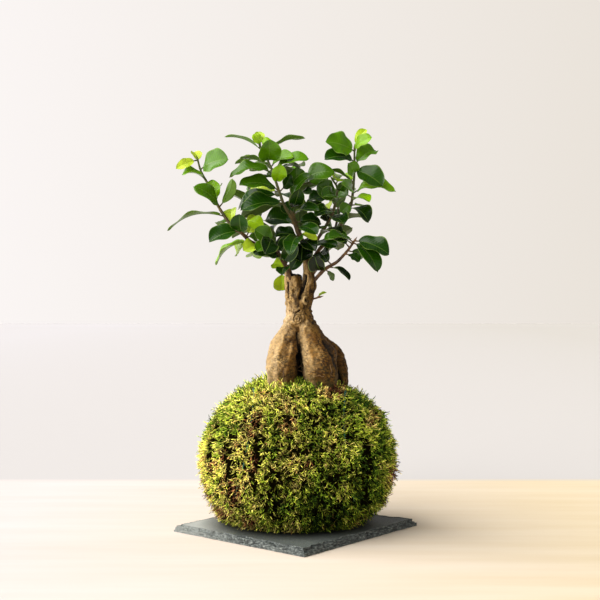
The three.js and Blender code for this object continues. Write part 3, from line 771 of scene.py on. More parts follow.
x, y, z = root.T
patch = 0.55 + 0.3 * lumps(root, (18, 18, 30), 51) + 0.26 * lumps(root, 6, 52)
# The last term is painted light and shade: the patches shift toward yellow-lime on the left and dark green on
# the right.
patch += spread(random.normal(0, 0.12, fronds_made)) + random.normal(0, 0.1, count) + 0.2 * blend(-50, 60, x)
# Painted light and shade for each strand: darker on shaded strands, in thin tufts, in the pleats and low on
# the ball; lighter toward the window on the left, on the right side and on the top.
light = random.uniform(*FROND_LIGHT, fronds_made) * (0.4 + 0.6 * blend(-0.6, 0.4, tuft)) * (1 - 0.75 * pleat)
shaded = random.random(count) < SHADED
strand_light = np.where(shaded, random.uniform(*SHADED_LIGHT, count), random.uniform(*OPEN_LIGHT, count))
light = spread(light) * (strand_light * (0.42 + 0.58 * blend(10, 60, z)) * (1 + 0.6 * blend(20, 75, x)))
light *= 1 + 0.65 * blend(-10, -70, x) + 0.4 * blend(105, 125, z)
light = np.minimum(light, BRIGHTEST)
for dry_x, dry_z, wide, high in DRY_PATCHES:
    away = np.hypot((x - dry_x) / wide, (z - dry_z) / high) + 0.6 * lumps(root, 5, 53)
    drier = 0.44 + 0.2 * blend(-50, 60, dry_x)
    patch -= drier * (1 - blend(0.4, 1.3, away)) * (y < BALL_MIDDLE[1] + 20)
patch = np.clip(patch, 0, 1)
heights = np.append(np.repeat(STATIONS, 3), 1)
heights = np.where(is_shoot[:, None], 0.4 + 0.6 * heights, heights)

strand_quads = skin_faces(len(STATIONS), 3)[0]
strand_ends = np.array([(3, 4, 6), (4, 5, 6), (5, 3, 6), (2, 1, 0)])
for number, chosen in enumerate(np.array_split(np.arange(count), PIECES)):
    points = strand_points[chosen]
    each = points.shape[1]
    first = (np.arange(len(chosen)) * each)[:, None, None]
    faces = (strand_quads + first).reshape(-1, 4), (strand_ends + first).reshape(-1, 3)
    fronds = make_piece(f"moss_fronds_{number + 1}", points.reshape(-1, 3), *faces)
    patch_here, light_here = (np.repeat(values[chosen], each) for values in (patch, light))
    give(fronds, patch=patch_here, height=heights[chosen].ravel(), light=light_here)
    settle(fronds, "moss", [moss_look])

# %% [markdown]
# ## Tubes
#
# Thread, stems, buds and root fibres are all tubes along a bent line. The helper first runs a smooth curve
# through the given points, then carries a ring of points along it.

# %% Tubes
def smooth_line(points, steps):
    """A curve through all the points, with the given number of steps between each two."""
    points = np.asarray(points, float)
    padded = np.concatenate([[2 * points[0] - points[1]], points, [2 * points[-1] - points[-2]]])
    curve = []
    for i in range(len(points) - 1):
        a, b, c, d = padded[i:i + 4]
        for t in np.arange(steps) / steps:
            curve.append(0.5 * (2 * b + (c - a) * t + (2 * a - 5 * b + 4 * c - d) * t ** 2
                                + (3 * b - a - 3 * c + d) * t ** 3))
    return np.array(curve + [points[-1]])


def tube(line, radii, sides):
    """A tube along a line, closed at both ends."""
    line = np.asarray(line, float)
    ahead = unit(np.gradient(line, axis=0))
    side = unit(np.cross(ahead, (0.15, 1, 0.1)))
    front = np.cross(ahead, side)
    turn = np.arange(sides) / sides * 2 * math.pi
    ring = side[:, None] * np.cos(turn)[None, :, None] + front[:, None] * np.sin(turn)[None, :, None]
    points = (line[:, None] + ring * np.asarray(radii, float)[:, None, None]).reshape(-1, 3)
    return np.concatenate([points, line[:1], line[-1:]]), *skin_faces(len(line), sides)


print("helpers ready: smooth_line and tube")

# %% [markdown]
# ## The binding thread
#
# The thread is a fine two-ply cord, so each loop is two thin tubes wound round each other. It follows the
# frame's loops, sinks a little between the tufts that hide it and shows where it bites into the moss.

# %% Thread
PLY_RADIUS = 0.36
PLY_APART = 0.32
PLY_SIDES = 5
HIDDEN_DEPTH = 4.0
TWISTS = 64
TWIST_STEPS = 8

plies = []
turn = np.arange(TWISTS * TWIST_STEPS + 1) / (TWISTS * TWIST_STEPS) * 2 * math.pi
for azimuth, elevation, offset in LOOPS:
    facing = loop_facing(azimuth, elevation)
    level = np.array([-math.sin(math.radians(azimuth)), math.cos(math.radians(azimuth)), 0])
    ways_out = swing(turn, level, np.cross(facing, level))
    start = BALL_MIDDLE + facing * offset
    line = ball_surface(start, ways_out, THREAD_SINK, FOOT + THREAD_RADIUS + THREAD_SINK)
    line = line - ways_out * (HIDDEN_DEPTH * (1 - thread_bite(line, 3)))[:, None]
    for ply in range(2):
        aside = swing(turn * TWISTS + ply * math.pi, ways_out, facing)
        plies.append(tube(line + aside * PLY_APART, np.full(len(line), PLY_RADIUS), PLY_SIDES))
thread = make_piece("thread", *gather(plies))
thread_look = Finish("waxed_thread", 0.45).mottle(900, 2, (0.35, 16, 72, 58), (0.7, 46, 124, 104))
settle(thread, "thread", [thread_look], "binding_thread")

# %% [markdown]
# ## Stray stems
#
# Here and there the mat frays: a dry tuft sticks out at the rim, a few stems hang down or curl up. Each is a
# thin tube that starts on the ball and wanders, and the table says where, which way, how many and how long.

# %% Stray stems
STRAYS = [
    # a place near the ball's surface, the way they start, how many, how long
    ((86, -8, 53), (1.0, -0.1, 0.2), 24, 6), ((80, -16, 32), (0.35, -0.2, -1.0), 9, 9),
    ((-70, -34, 17), (-1.0, -0.1, 0.1), 7, 11), ((58, -12, 124), (0.5, 0.0, 1.0), 16, 7),
    ((-40, -8, 124), (-0.5, 0.0, 1.0), 9, 6), ((24, -50, 12), (0.2, -0.7, -0.3), 12, 6),
    ((-30, -60, 14), (-0.2, -0.7, -0.3), 10, 6), ((-84, 0, 80), (-1.0, 0.0, 0.3), 8, 5),
    ((70, -10, 106), (1.0, 0.0, 0.4), 9, 5), ((60, -40, 16), (0.5, -0.5, -0.6), 9, 7),
    ((20, 90, 40), (0.0, 1.0, -0.3), 12, 7), ((-50, 70, 70), (-0.4, 1.0, 0.1), 12, 6),
]
STRAY_SPREAD = 5
STRAY_STEPS = 9
STRAY_RADII = (0.3, 0.14)
STRAY_LONG = (0.6, 1.2)
STRAY_WAY = 0.4
STRAY_CURL = 0.3
STRAY_WANDER = 0.25

stray_random = np.random.default_rng(21)
strays = []
for place, start_way, how_many, reach in STRAYS:
    around_place = np.array(place) + stray_random.normal(0, STRAY_SPREAD, (how_many, 3))
    for start in ball_surface(BALL_MIDDLE, unit(around_place - BALL_MIDDLE), 2):
        heading = np.array(start_way) + stray_random.normal(0, STRAY_WAY, 3)
        step = reach * stray_random.uniform(*STRAY_LONG) / STRAY_STEPS
        curl = stray_random.normal(0, STRAY_CURL, 3)
        line = [start]
        for _ in range(STRAY_STEPS + 2):
            heading = unit(heading + curl + stray_random.normal(0, STRAY_WANDER, 3))
            line.append(line[-1] + heading * step)
        strays.append(tube(line, np.linspace(*STRAY_RADII, len(line)), 4))
points, *faces = gather(strays)
points[:, 2] = np.maximum(points[:, 2], FOOT)
stray_stems = make_piece("stray_stems", points, *faces)
stray_look = Finish("dry_stems", 0.8, 0.15)
stray_look.mottle(60, 3, (0.35, 60, 36, 14), (0.5, 140, 112, 54), (0.62, 150, 160, 60))
settle(stray_stems, "moss", [stray_look])

# %% [markdown]
# ## The trunk and roots
#
# The fig's roots are swollen and smooth like muscles, and they melt into one another above the moss. The
# frame's solid has the right limbs but flat facets and sharp valleys. A voxel remesh gives it an even fine
# skin, and smoothing melts the valleys together as bark does. Marks are then pressed in by place: the cut
# stub with its hole, a ringed knot, a wound and two slits.

# %% Trunk: an even fine skin
VOXEL = 0.75
SMOOTHINGS = 10

draft_mesh = nodes["trunk"].data.copy()
draft_mesh.transform(nodes["trunk"].matrix_world)
draft = placed("draft", draft_mesh)
finer = draft.modifiers.new("finer", "REMESH")
finer.mode = "VOXEL"
finer.voxel_size = VOXEL * MM
softer = draft.modifiers.new("softer", "SMOOTH")
softer.factor = 0.5
softer.iterations = SMOOTHINGS
skin = bpy.data.meshes.new_from_object(draft.evaluated_get(bpy.context.evaluated_depsgraph_get()))
bpy.data.objects.remove(draft)
bark_points = np.array([v.co for v in skin.vertices]) / MM
bark_normals = np.array([v.normal for v in skin.vertices])
bark_quads = np.array([face.vertices for face in skin.polygons])
print("the skin has", len(bark_points), "points and", len(bark_quads), "quads")

# %% Trunk: swellings, wrinkles and marks
PLUMP = 0.45
MARKS = [
    # x, z, reach across, reach up, push outward, how dark its painted shade
    (10.9, 198.6, 2.4, 2.6, -3.2, 1.0), (15.8, 178.9, 1.7, 2.4, -1.0, 0.9),
    (15.4, 184.5, 0.7, 4.5, -0.6, 0.8), (15.6, 189.0, 1.6, 1.5, 1.5, -0.2),
    (-7.6, 196.0, 1.6, 2.2, 1.2, 0.0), (2.2, 182.6, 0.9, 0.9, -0.6, 0.7),
    (-17.6, 153.6, 1.3, 1.6, -0.5, 0.45), (-16.4, 149.6, 1.8, 1.5, 0.6, 0.0),
    (-18.2, 140.3, 1.2, 1.0, -0.5, 0.45),
]
CREASES = [
    # the way down a crease as (x, z), half its width, push outward, how dark its painted shade
    ([(9.2, 219), (7.6, 210), (4.4, 200.5)], 1.7, -2.2, 1.0),
    ([(-5.9, 214), (-5.0, 207), (-4.6, 200.5)], 0.8, -1.5, 0.95),
    ([(-4.8, 191.2), (0.4, 188.6), (4.9, 191.6)], 0.7, 1.4, 0.0),
    ([(-4.6, 189.8), (0.4, 187.0), (4.7, 190.0)], 0.6, -1.0, 0.8),
    ([(2.2, 170), (2.6, 160)], 1.1, -1.8, 0.9),
    ([(2.6, 160), (3.4, 150)], 1.9, -2.4, 1.0),
    ([(3.4, 151), (4.6, 143), (6.4, 130)], 2.8, -2.4, 1.0),
    ([(24.3, 163.5), (29.5, 153.6), (34.6, 144.6), (38.6, 134), (41.0, 124)], 1.3, -1.6, 0.9),
    ([(14.5, 185), (19.0, 176), (24.0, 165)], 0.7, -0.5, 0.35),
]
KNOT = (2.2, 182.6)
KNOT_RINGS = 1.8
STUB = (10.9, 198.6)
STUB_RIM = 3.0
SLIMMER = 1.9
SHOULDER = (156, 2.4)


def away_from_line(px, pz, line):
    """How far points lie from a bent line, seen from the front."""
    best = np.full(len(px), 1e9)
    for (x0, z0), (x1, z1) in zip(line[:-1], line[1:]):
        t = np.clip(((px - x0) * (x1 - x0) + (pz - z0) * (z1 - z0)) / ((x1 - x0) ** 2 + (z1 - z0) ** 2), 0, 1)
        best = np.minimum(best, np.hypot(px - x0 - t * (x1 - x0), pz - z0 - t * (z1 - z0)))
    return best


x, y, z = bark_points.T
right = bark_normals[:, 0]
front = -bark_normals[:, 1]
neck = blend(186, 197, z)
push = PLUMP + 0.6 * lumps(bark_points, 11, 71) + 0.35 * lumps(bark_points, 5, 72)
push += (1 - neck) * (0.26 * lumps(bark_points, (4.2, 4.2, 2.2), 73) + 0.34 * lumps(bark_points, 2.2, 74))
push += neck * (0.9 * lumps(bark_points, (2.4, 2.4, 12), 77) + 0.45 * lumps(bark_points, 2.4, 78))
push += 0.5 * blend(176, 180, z) * (1 - blend(188, 193, z)) * lumps(bark_points, (8, 8, 2.6), 79)
faces_front = blend(0.0, 0.4, front)
# Painted shade in the pressed-in marks and creases, such as the stub's hole and the slits. On the broken top
# it is the dead wood's own dark colour.
dark = np.zeros(len(bark_points))
wander = 0.5 * lumps(bark_points, 5, 75)
for mark_x, mark_z, wide, high, outward, darkness in MARKS:
    away = np.hypot((x - mark_x + wander * 0.5) / wide, (z - mark_z) / high)
    pressed = (1 - blend(0.35, 1.15, away)) * faces_front
    push += outward * pressed
    dark = np.maximum(dark, darkness * pressed)
for line, wide, outward, darkness in CREASES:
    away = (away_from_line(x, z, line) + wander) / wide
    pressed = (1 - blend(0.3, 1.3, away)) * blend(-0.3, 0.2, front) * (y < 12)
    push += outward * pressed
    dark = np.maximum(dark, darkness * pressed)
from_knot = np.hypot(x - KNOT[0], z - KNOT[1])
push += 0.7 * np.cos(from_knot * 2 * math.pi / KNOT_RINGS) * (1 - blend(3.2, 5.5, from_knot)) * faces_front
from_stub = np.hypot(x - STUB[0], z - STUB[1])
rim = np.exp(-((from_stub - STUB_RIM) / 0.6) ** 2) * faces_front
rim = rim * (np.abs(y + 13) < 4) * blend(3, -2, x - STUB[0])
push += 0.5 * rim
push += SHOULDER[1] * blend(0.2, 0.7, right) * np.exp(-((z - SHOULDER[0]) / 7) ** 2)
push -= SLIMMER * blend(0.2, 0.8, right) * blend(184, 190, z) * (1 - blend(203, 210, z))
bark_points = bark_points + bark_normals * push[:, None]

broken_top = blend(217.5, 219.5, z) * (np.hypot(x + 1, y) < 6.2) * (np.abs(bark_normals[:, 2]) > 0.5)
bark_points[:, 2] += broken_top * (2.2 * lumps(bark_points, 2.4, 76) - 0.6)
dark = np.maximum(dark, 0.9 * broken_top)
print("marks pressed in:", len(MARKS), "and creases:", len(CREASES))

# %% [markdown]
# ### Painted shade in the valleys
#
# The valleys between the roots are painted darker as painted shade. For each point the script looks out in
# several directions over the surface. The fewer of them are open, the deeper the point lies, and the finish
# darkens it by that as painted shade.

# %% Trunk: how open each point lies
LOOKS = 12
LOOK_FAR = 26
FROM_WINDOW = np.array([0.9, 0.35, -0.1])

bark = make_piece("bark", bark_points, bark_quads)
bark_tree = BVHTree.FromPolygons(bark_points.tolist(), bark_quads.tolist())
bark_normals = np.array([v.normal for v in bark.data.vertices])
level = np.sqrt((np.arange(LOOKS) + 0.5) / LOOKS)
side = unit(np.cross(bark_normals, (0.3, 0.9, 0.2)))
beside = np.cross(bark_normals, side)
start = (bark_points + bark_normals * 0.5).tolist()
open_share = np.zeros(len(bark_points))
for sideways, onward, outward in golden_ways(level, np.sqrt(1 - level ** 2)):
    ray = side * sideways + beside * onward + bark_normals * outward
    open_share += [bark_tree.ray_cast(a, b, LOOK_FAR)[0] is None for a, b in zip(start, ray.tolist())]
open_share /= LOOKS
# Painted light and shade: the bark is painted paler on the side that faces the window and browner on the
# other side.
to_window = 0.5 - 0.5 * (bark_normals @ unit(FROM_WINDOW)) + 0.15 * lumps(bark_points, 9, 80)
give(bark, open=open_share, dark=np.clip(dark, 0, 1), pale=np.clip(rim, 0, 1),
     neck=blend(168, 186, bark_points[:, 2]),
     bleached=blend(0.5, 1.1, to_window - 0.006 * bark_points[:, 0]) * (1 - 0.5 * neck))
print("the average point sees", round(float(open_share.mean()), 2), "of its sky")

# %% [markdown]
# ### The bark's finish
#
# Fig bark is thin, tan with a grey bloom, flecked with pale spots where it breathes, and crazed in places by
# fine bent cracks. The cracks are the borders of small cells, bent by noise. The side toward the window is
# smoother and is painted paler as painted light, and the other side is painted browner as painted shade. The
# valleys are painted darker, down to nearly black, as painted shade, with a green stain close to the moss. Up
# on the neck the bark peels in pale upright flakes.

# %% Trunk: finish
CRACK_APART = 3.4
CRACK_WARP = 5
STAIN_LEVELS = (150 * MM, 126 * MM)

bark_look = Finish("fig_bark", 0.75, 0.25)
bark_look.mottle(45, 6, (0.3, 122, 93, 36), (0.5, 168, 132, 70), (0.7, 218, 190, 138))
scales = bark_look.noise(380, 4, (1, 1, 1.4), 0.7)
bark_look.times(bark_look.ramp(scales, (0.36, 0.12), (0.47, 0.85), (0.64, 1.45)), 0.9)
warp = bark_look.node("TexNoise", {"Vector": bark_look.place(), "Scale": 160}).outputs["Color"]
warp = bark_look.node("VectorMath", {0: warp, "Scale": CRACK_WARP * MM}, operation="SCALE").outputs[0]
bent = bark_look.node("VectorMath", {0: bark_look.place((1, 1, 1.5)), 1: warp}, operation="ADD").outputs[0]
cells = {"Vector": bent, "Scale": 1 / (CRACK_APART * MM)}
cells = bark_look.node("TexVoronoi", cells, feature="DISTANCE_TO_EDGE").outputs["Distance"]
crack = bark_look.ramp(cells, (0.02, 1.0), (0.1, 0.0))
crack = bark_look.maths("MULTIPLY", crack, bark_look.ramp(bark_look.noise(90, 3), (0.42, 0.0), (0.56, 1.0)))
# Painted light: fewer cracks and a paler tone on the side toward the window, and a browner tone on the other
# side.
bleached = bark_look.value("bleached")
crack = bark_look.maths("MULTIPLY", crack, bark_look.ramp(bleached, (0.3, 1.0), (0.9, 0.5)))
bark_look.over((44, 30, 12), crack, 0.75)
wrinkle = bark_look.noise(210, 3, (0.7, 0.7, 1.9))
bark_look.times(bark_look.ramp(wrinkle, (0.38, 0.4), (0.48, 1.0)), 0.6)
bark_look.over((222, 196, 144), bark_look.ramp(bark_look.noise(170, 4), (0.52, 0.0), (0.66, 1.0)), 0.4)
peel = bark_look.ramp(bark_look.noise(330, 5, (1, 1, 0.4), 0.65), (0.4, 0.0), (0.6, 1.0))
bark_look.over(bark_look.mix(peel, (48, 32, 6), (232, 204, 156)), bark_look.value("neck"), 0.78)
bark_look.times(bark_look.ramp(bleached, (0.0, 158, 136, 84), (0.4, 236, 221, 184), (1.0, 255, 255, 255)))
bark_look.over((228, 196, 150), bleached, 0.34)
# Painted shade: the less open a point lies, the darker it is painted.
bark_look.times(bark_look.ramp(bark_look.value("open"), (0.28, 0.06), (0.56, 0.5), (0.8, 1.0)), 0.85)
stain = bark_look.fade(bark_look.split(bark_look.place())[2], *STAIN_LEVELS, 0.0, 0.75)
bark_look.over((52, 54, 24), stain, bark_look.ramp(bark_look.noise(130, 4), (0.42, 0.0), (0.62, 1.0)))
bark_look.over((196, 166, 112), bark_look.value("pale"))
# Painted shade in the hollows of the marks and creases, and the dark broken top.
bark_look.over((14, 11, 6), bark_look.value("dark"))
bark_look.bump(bark_look.maths("SUBTRACT", bark_look.maths("ADD", wrinkle, scales), crack), 1.4, 0.9)
settle(bark, "bark", [bark_look], "trunk")

# %% [markdown]
# ### Root fibres
#
# Where the thick roots enter the moss, thin young roots creep down their sides. They are hair-thin tubes
# that start on the bark and wander down and outward into the mat.

# %% Root fibres
FIBRES = 46
FIBRE_TOP = (126, 146)
FIBRE_STEPS = 6
FIBRE_STEP = 3.4
FIBRE_WANDER = 0.3
FIBRE_REACH = 6
FIBRE_RADII = (0.42, 0.18)

fibre_random = np.random.default_rng(12)
fibres = []
low = np.where((bark_points[:, 2] > FIBRE_TOP[0]) & (bark_points[:, 2] < FIBRE_TOP[1]))[0]
for chosen in fibre_random.choice(low, FIBRES):
    at = bark_points[chosen] + bark_normals[chosen] * 0.1
    heading = np.array([*(0.5 * bark_normals[chosen][:2]), -1.0])
    line = [at]
    for _ in range(FIBRE_STEPS):
        heading = heading + fibre_random.normal(0, FIBRE_WANDER, 3)
        at = at + unit(heading) * FIBRE_STEP
        near, out, _, distance = bark_tree.find_nearest(at)
        if distance < FIBRE_REACH or (Vector(at) - near).dot(out) < 0:
            at = np.array(near + out * 0.3)
        line.append(at)
    line = smooth_line(line, 3)
    fibres.append(tube(line, np.linspace(*FIBRE_RADII, len(line)), 5))
root_fibres = make_piece("root_fibres", *gather(fibres))
fibre_look = Finish("young_roots", 0.7).mottle(200, 3, (0.35, 70, 48, 28), (0.7, 150, 116, 74))
settle(root_fibres, "bark", [fibre_look])

# %% [markdown]
# ## The leafy sprays
#
# Each stem of the fig carries glossy oval leaves on short stalks. The table holds every spray as it is built
# in the frame: points along its stem, its thickness at both ends, and a row for every leaf. A row says at
# what share of the stem the leaf starts, the way to its tip as x, y and z, its width, and the way its upper
# face looks as x, y and z. A ninth number sets the leaf's green where it doesn't follow its place on the
# stem, from 0, dark as an old leaf, to 1, lime as a young one. It is partly the leaf's own age and partly
# painted light and shade: lime on leaves lit from behind, and darker on some that face the light. The three
# sprays at the back follow a rule instead, with leaves set by the golden angle, and their one number turns
# the first leaf.

# %% Sprays: the table
SPRAYS = {
    "spray_left_high": ([
        (-7, 1, 230), (-22, -3, 241), (-38, -6, 249), (-44, -6, 255), (-55, -6, 264), (-63, -5, 275),
        (-68, -4, 284), (-75, -2, 299), (-81, 0, 310), (-84, 0, 320),
    ], (2, 0.8), [
        (0.93, 24, -18, 8, 24, 0, -1, 0.6, 0.36), (0.97, -5, 6, 12, 10, 0.3, -0.8, 0.6, 0.95),
        (1, -18, -8, -8, 9, 0, -1, 0.3, 0.95), (0.84, -20, -14, 6, 15, 0.5, -0.3, 1, 0.5),
        (0.62, -20, -18, 18, 16, 0.6, -0.8, 0.5), (0.67, -3, -14, 19, 14, -0.3, -1, 0.3, 0.55),
        (0.63, 13, -8, 24, 10, 0.3, 1, -0.2), (0.65, 2, 14, 20, 11, -0.8, -0.6, 0.2),
        (0.49, -9, 24, 1, 13, 0, -1, 0.5), (0.55, -50, -6, -10, 15, 0, 0.05, 1),
        (0.47, -2, 22, 17, 12, -0.2, -1, 0.2, 0.9),
    ]),
    "spray_left_low": ([
        (-21, -3.5, 240.5), (-30, -11, 244), (-38, -16, 249), (-43, -18, 253), (-46, -19, 257),
    ], (1.4, 0.8), [
        (1, -26, -12, -8, 20, 0.2, -0.8, 1, 0.2), (0.84, 12, 8, -3, 9, 0.3, -0.8, 0.5),
        (0.92, -2, -14, 16, 16, -0.2, -1, 0.2, 0.2), (0.62, -31, 4, -19, 17, -0.6, -0.2, 1, 0.6),
        (0.61, -15, 14, -10, 14, -0.4, -0.8, 0.6, 0.82), (0.46, -4, 20, -9, 14, 0.2, -1, 0.3, 0.66),
        (0.1, -12, -16, -2, 13, 0.1, -0.3, 1), (0.8, 9, 12, 19, 14, 0.3, -1, 0.3, 0.9),
        (0.4, -12, -10, -4, 13, -0.1, -1, 0.4, 0.88),
    ]),
    "spray_left_inner": ([
        (-2, -3, 213), (-8, -11, 228), (-15, -19, 238), (-20, -24, 248), (-24, -27, 258),
    ], (1.5, 0.8), [
        (0.24, -12, 4, 7, 13, 0.3, -1, 0.3, 0.8), (0.3, -3, -14, -6, 12, -0.3, -1, 0.4),
        (0.44, -16, -20, 4, 15, 0.3, -0.8, 0.9), (0.67, -14, -16, -2, 18, -0.5, -0.9, 0.5),
        (0.86, -3, -20, -14, 16, 0.6, -1, 0.5), (0.98, -16, 6, 10, 15, 0.2, -1, 0.5, 0.75),
        (0.52, -22, 12, 5, 13, 0, -1, 0.5), (0.77, -14, -18, 11, 16, -0.2, -1, 0.5, 0.3),
        (0.4, 11, -14, 16, 13, 0.3, -1, 0.3), (0.58, 12, -14, 13, 13, 0.4, -1, 0.4),
    ]),
    "spray_crown_middle": ([
        (10.5, -6, 241), (7, -9, 248), (2, -12, 260), (-3, -12, 277), (-3, -10, 287), (0, -7, 295),
        (7, -4, 299), (13, -2, 300),
    ], (2.6, 0.8), [
        (0.12, -1, -22, -17, 19, 0.1, -1, 0.5), (0.18, -9, -18, -15, 16, -0.3, -1, 0.5),
        (0.33, -27, -18, 7, 24, 0, -0.9, 0.8), (0.28, 17, -20, -4, 14, -0.1, -0.8, 1),
        (0.22, 15, -14, -5, 8, 0.5, -1, 0.2, 0.92), (0.64, 16, -16, 21, 17, -0.4, -0.8, 0.8),
        (0.6, 17, -18, 8, 16, 0, -0.5, 1), (0.54, 7, -20, 14, 13, 0.3, -1, 0.3),
        (0.9, 28, -15, 10, 19, 0, -0.9, 0.7), (0.94, 21, 18, 6, 18, 0, -1, 0.3),
        (0.8, 2, -18, 17, 16, 0.2, -0.8, 0.9), (0.69, -5, -12, 17, 12, 0.7, -0.8, 0.3, 0.5),
        (0.45, 22, -16, 4, 16, 0, -0.6, 1), (0.14, -23, -14, -5, 16, -0.2, -1, 0.4),
        (0.17, -23, -8, 3, 14, -0.2, -0.8, 0.7), (0.05, -12, -12, -20, 11, 0.1, -1, 0.2),
        (0.36, 23, -10, 1, 14, 0.2, -0.9, 0.6), (0.42, -8, -10, 14, 12, -0.2, -1, 0.2),
        (0.16, 12, -18, -10, 14, 0.2, -1, 0.3),
    ]),
    "spray_crown_left": ([
        (1, -14, 263), (-5, -18, 273), (-9, -20, 280), (-15, -21, 297), (-19, -20, 309), (-24, -18, 320),
        (-29, -16, 329),
    ], (1.5, 0.8), [
        (0.95, -32, 4, 15, 11, 0, 0.1, 1), (1, -6, -4, 11, 9, 0.3, -1, 0.4, 0.75),
        (1, -2, 2, 14, 9, 0.2, -1, 0.3, 0.85), (0.97, 9, -4, 8, 10, -0.3, -1, 0.5, 0.7),
        (0.8, 1, -20, 16, 20, 0.1, -1, 0.4), (0.73, -26, -2, 9, 9, 0, 0.2, 1),
        (0.71, -32, 14, 8, 10, 0, 0.3, 1), (0.69, -20, 18, 4, 10, -0.3, 1, 0.6),
        (0.64, -37, -10, -1, 19, 0, -0.6, 1), (0.44, -33, -12, 5, 18, -0.1, -0.8, 0.8),
        (0.28, -36, -14, -5, 19, -0.1, -0.8, 0.8), (0.39, -38, 8, -10, 15, -0.2, -0.8, 0.6),
        (0.33, -36, 16, -13, 14, -0.5, 1, 0.3), (0.43, -28, 22, 3, 18, 0, -1, 0.3, 0.95),
        (0.87, 33, 6, 18, 9, 0, 0.3, 1), (0.73, 19, -14, 9, 15, -0.2, -0.8, 0.9, 0.5),
        (0.66, 30, -12, 12, 13, 0.1, -0.8, 0.8, 0.45), (0.55, 4, -18, 13, 13, 0.2, -1, 0.2, 0.62),
        (0.58, -8, -16, 6, 12, -0.2, -0.9, 0.6), (0.61, 22, 14, 12, 12, 0, 0.1, 1),
        (0.43, 9, 14, 15, 12, 0.8, -0.6, 0.2),
    ]),
    "spray_crown_right": ([
        (11, -4, 235), (17, 3, 247), (26, 5, 261), (33, 3, 274), (36, 1, 286), (37, 0, 296), (33, 0, 303),
    ], (1.8, 0.8), [
        (0.78, -16, -14, 10, 18, 0, -1, 0.3), (0.93, 2, 14, 8, 14, 0.3, -1, 0.3, 0.85),
        (0.74, -24, -18, 2, 18, 0, -0.7, 0.9), (0.7, -11, -22, 5, 16, 0.2, -0.9, 0.6),
        (0.85, 7, -10, 8, 9, 0.4, -1, 0.2), (0.57, -22, -14, 10, 17, 0.1, -0.5, 1),
        (0.48, -2, -22, 8, 16, 0.2, -0.7, 0.9), (0.53, 12, -26, -6, 17, 0.1, -0.6, 0.9),
        (0.37, -3, -24, 2, 18, -0.1, -0.7, 0.9), (0.29, 19, -16, 4, 15, 0.3, -0.5, 1),
        (0.18, 20, -18, -1, 12, 0.4, -0.9, 0.4), (0.62, -8, 20, 4, 15, 0, -1, 0.4, 0.95),
        (0.6, -15, -16, -2, 14, 0, -0.9, 0.6),
    ]),
    "spray_right_high": ([
        (15, -3, 230), (21, 3, 242), (31, 9, 252), (40, 11, 263), (43, 10, 273), (49, 8, 281), (51, 6, 294),
        (52, 3, 310), (52, 1, 323), (52, 0, 330),
    ], (1.9, 0.8), [
        (0.98, -25, -14, 7, 23, 0.1, -1, 0.5, 0.36), (0.9, -26, -16, 1, 19, 0.1, -0.9, 0.8, 0.2),
        (1, 10, 4, 18, 9, -0.4, -1, 0.2, 0.85), (0.97, 14, -12, 12, 12, -0.4, -0.8, 0.5, 0.6),
        (0.87, 19, 8, 16, 17, -0.3, -1, 0.7), (0.84, 24, -12, -14, 21, 0.1, -1, 0.5, 0.22),
        (0.79, -5, -18, 10, 14, 0.3, -1, 0.2), (0.73, -24, 4, 14, 11, 0, 0.1, 1),
        (0.66, 37, -8, 3, 15, -0.1, -0.8, 0.9, 0.55), (0.6, 15, -18, 0, 14, 0.1, -0.6, 1, 0.7),
        (0.57, 18, 12, -4, 12, 0, -0.2, 1, 0.5), (0.54, 17, -18, -12, 17, 0.4, -0.8, 0.7),
        (0.74, -16, 16, 8, 13, 0, -0.2, 1, 0.7), (0.66, -9, -16, 7, 13, -0.3, -1, 0.3),
        (0.63, -11, 20, 7, 14, -0.3, -1, 0.3), (0.6, -9, -12, -10, 11, 0.3, -1, 0.3),
    ]),
    "spray_right_low": ([
        (15.5, -4.5, 214), (26, -9, 225), (36, -13, 231), (42, -15, 237), (47, -18, 243), (51, -20, 249),
    ], (1.7, 0.9), [
        (1, 29, -12, -11, 20, 0.1, -0.8, 0.8, 0.16), (0.96, 21, -14, -24, 18, 0.3, -0.8, 0.8, 0.2),
        (0.94, -24, -14, 4, 15, 0.3, -0.6, 1), (0.86, -18, 10, 10, 16, 0.4, -0.8, 0.6),
        (0.72, 13, -6, -6, 10, 0.3, -0.7, 0.6), (0.8, 14, 10, -5, 9, 0.3, -0.9, 0.4),
        (0.37, 18, -8, -11, 10, 0.5, -0.5, 0.8), (0.31, 7, 4, -10, 6, 0.6, 1, 0.3),
        (0.25, -7, -14, 13, 15, -0.4, -1, 0.2), (0.44, -11, 12, 13, 15, -0.3, -1, 0.3),
        (0.97, -22, 14, 4, 14, 0, -0.6, 1),
    ]),
    "sprout_right": ([
        (14, -3, 199), (21, -5, 201),
    ], (0.8, 0.7), [
        (0.8, 8, -3, 5, 6, 0, 0.2, 1, 0.85),
    ]),
    "sprout_left": ([
        (-7, 5, 220), (-11.5, 9, 225),
    ], (0.9, 0.7), [
        (1, -0.5, 5, -18, 16, 0.2, -1, 0.3, 0.82),
    ]),
    "spray_back_left": ([
        (-4, 6, 222), (-16, 17, 243), (-28, 28, 260), (-37, 34, 276), (-42, 37, 290),
    ], (1.9, 0.8), 20),
    "spray_back_middle": ([
        (10.5, -4, 237), (6, 11, 252), (2, 28, 270), (-2, 36, 288), (-5, 40, 306),
    ], (1.9, 0.8), 80),
    "spray_back_right": ([
        (16, 2, 222), (27, 16, 238), (33, 26, 254), (38, 32, 270), (39, 34, 286),
    ], (1.8, 0.8), 150),
}
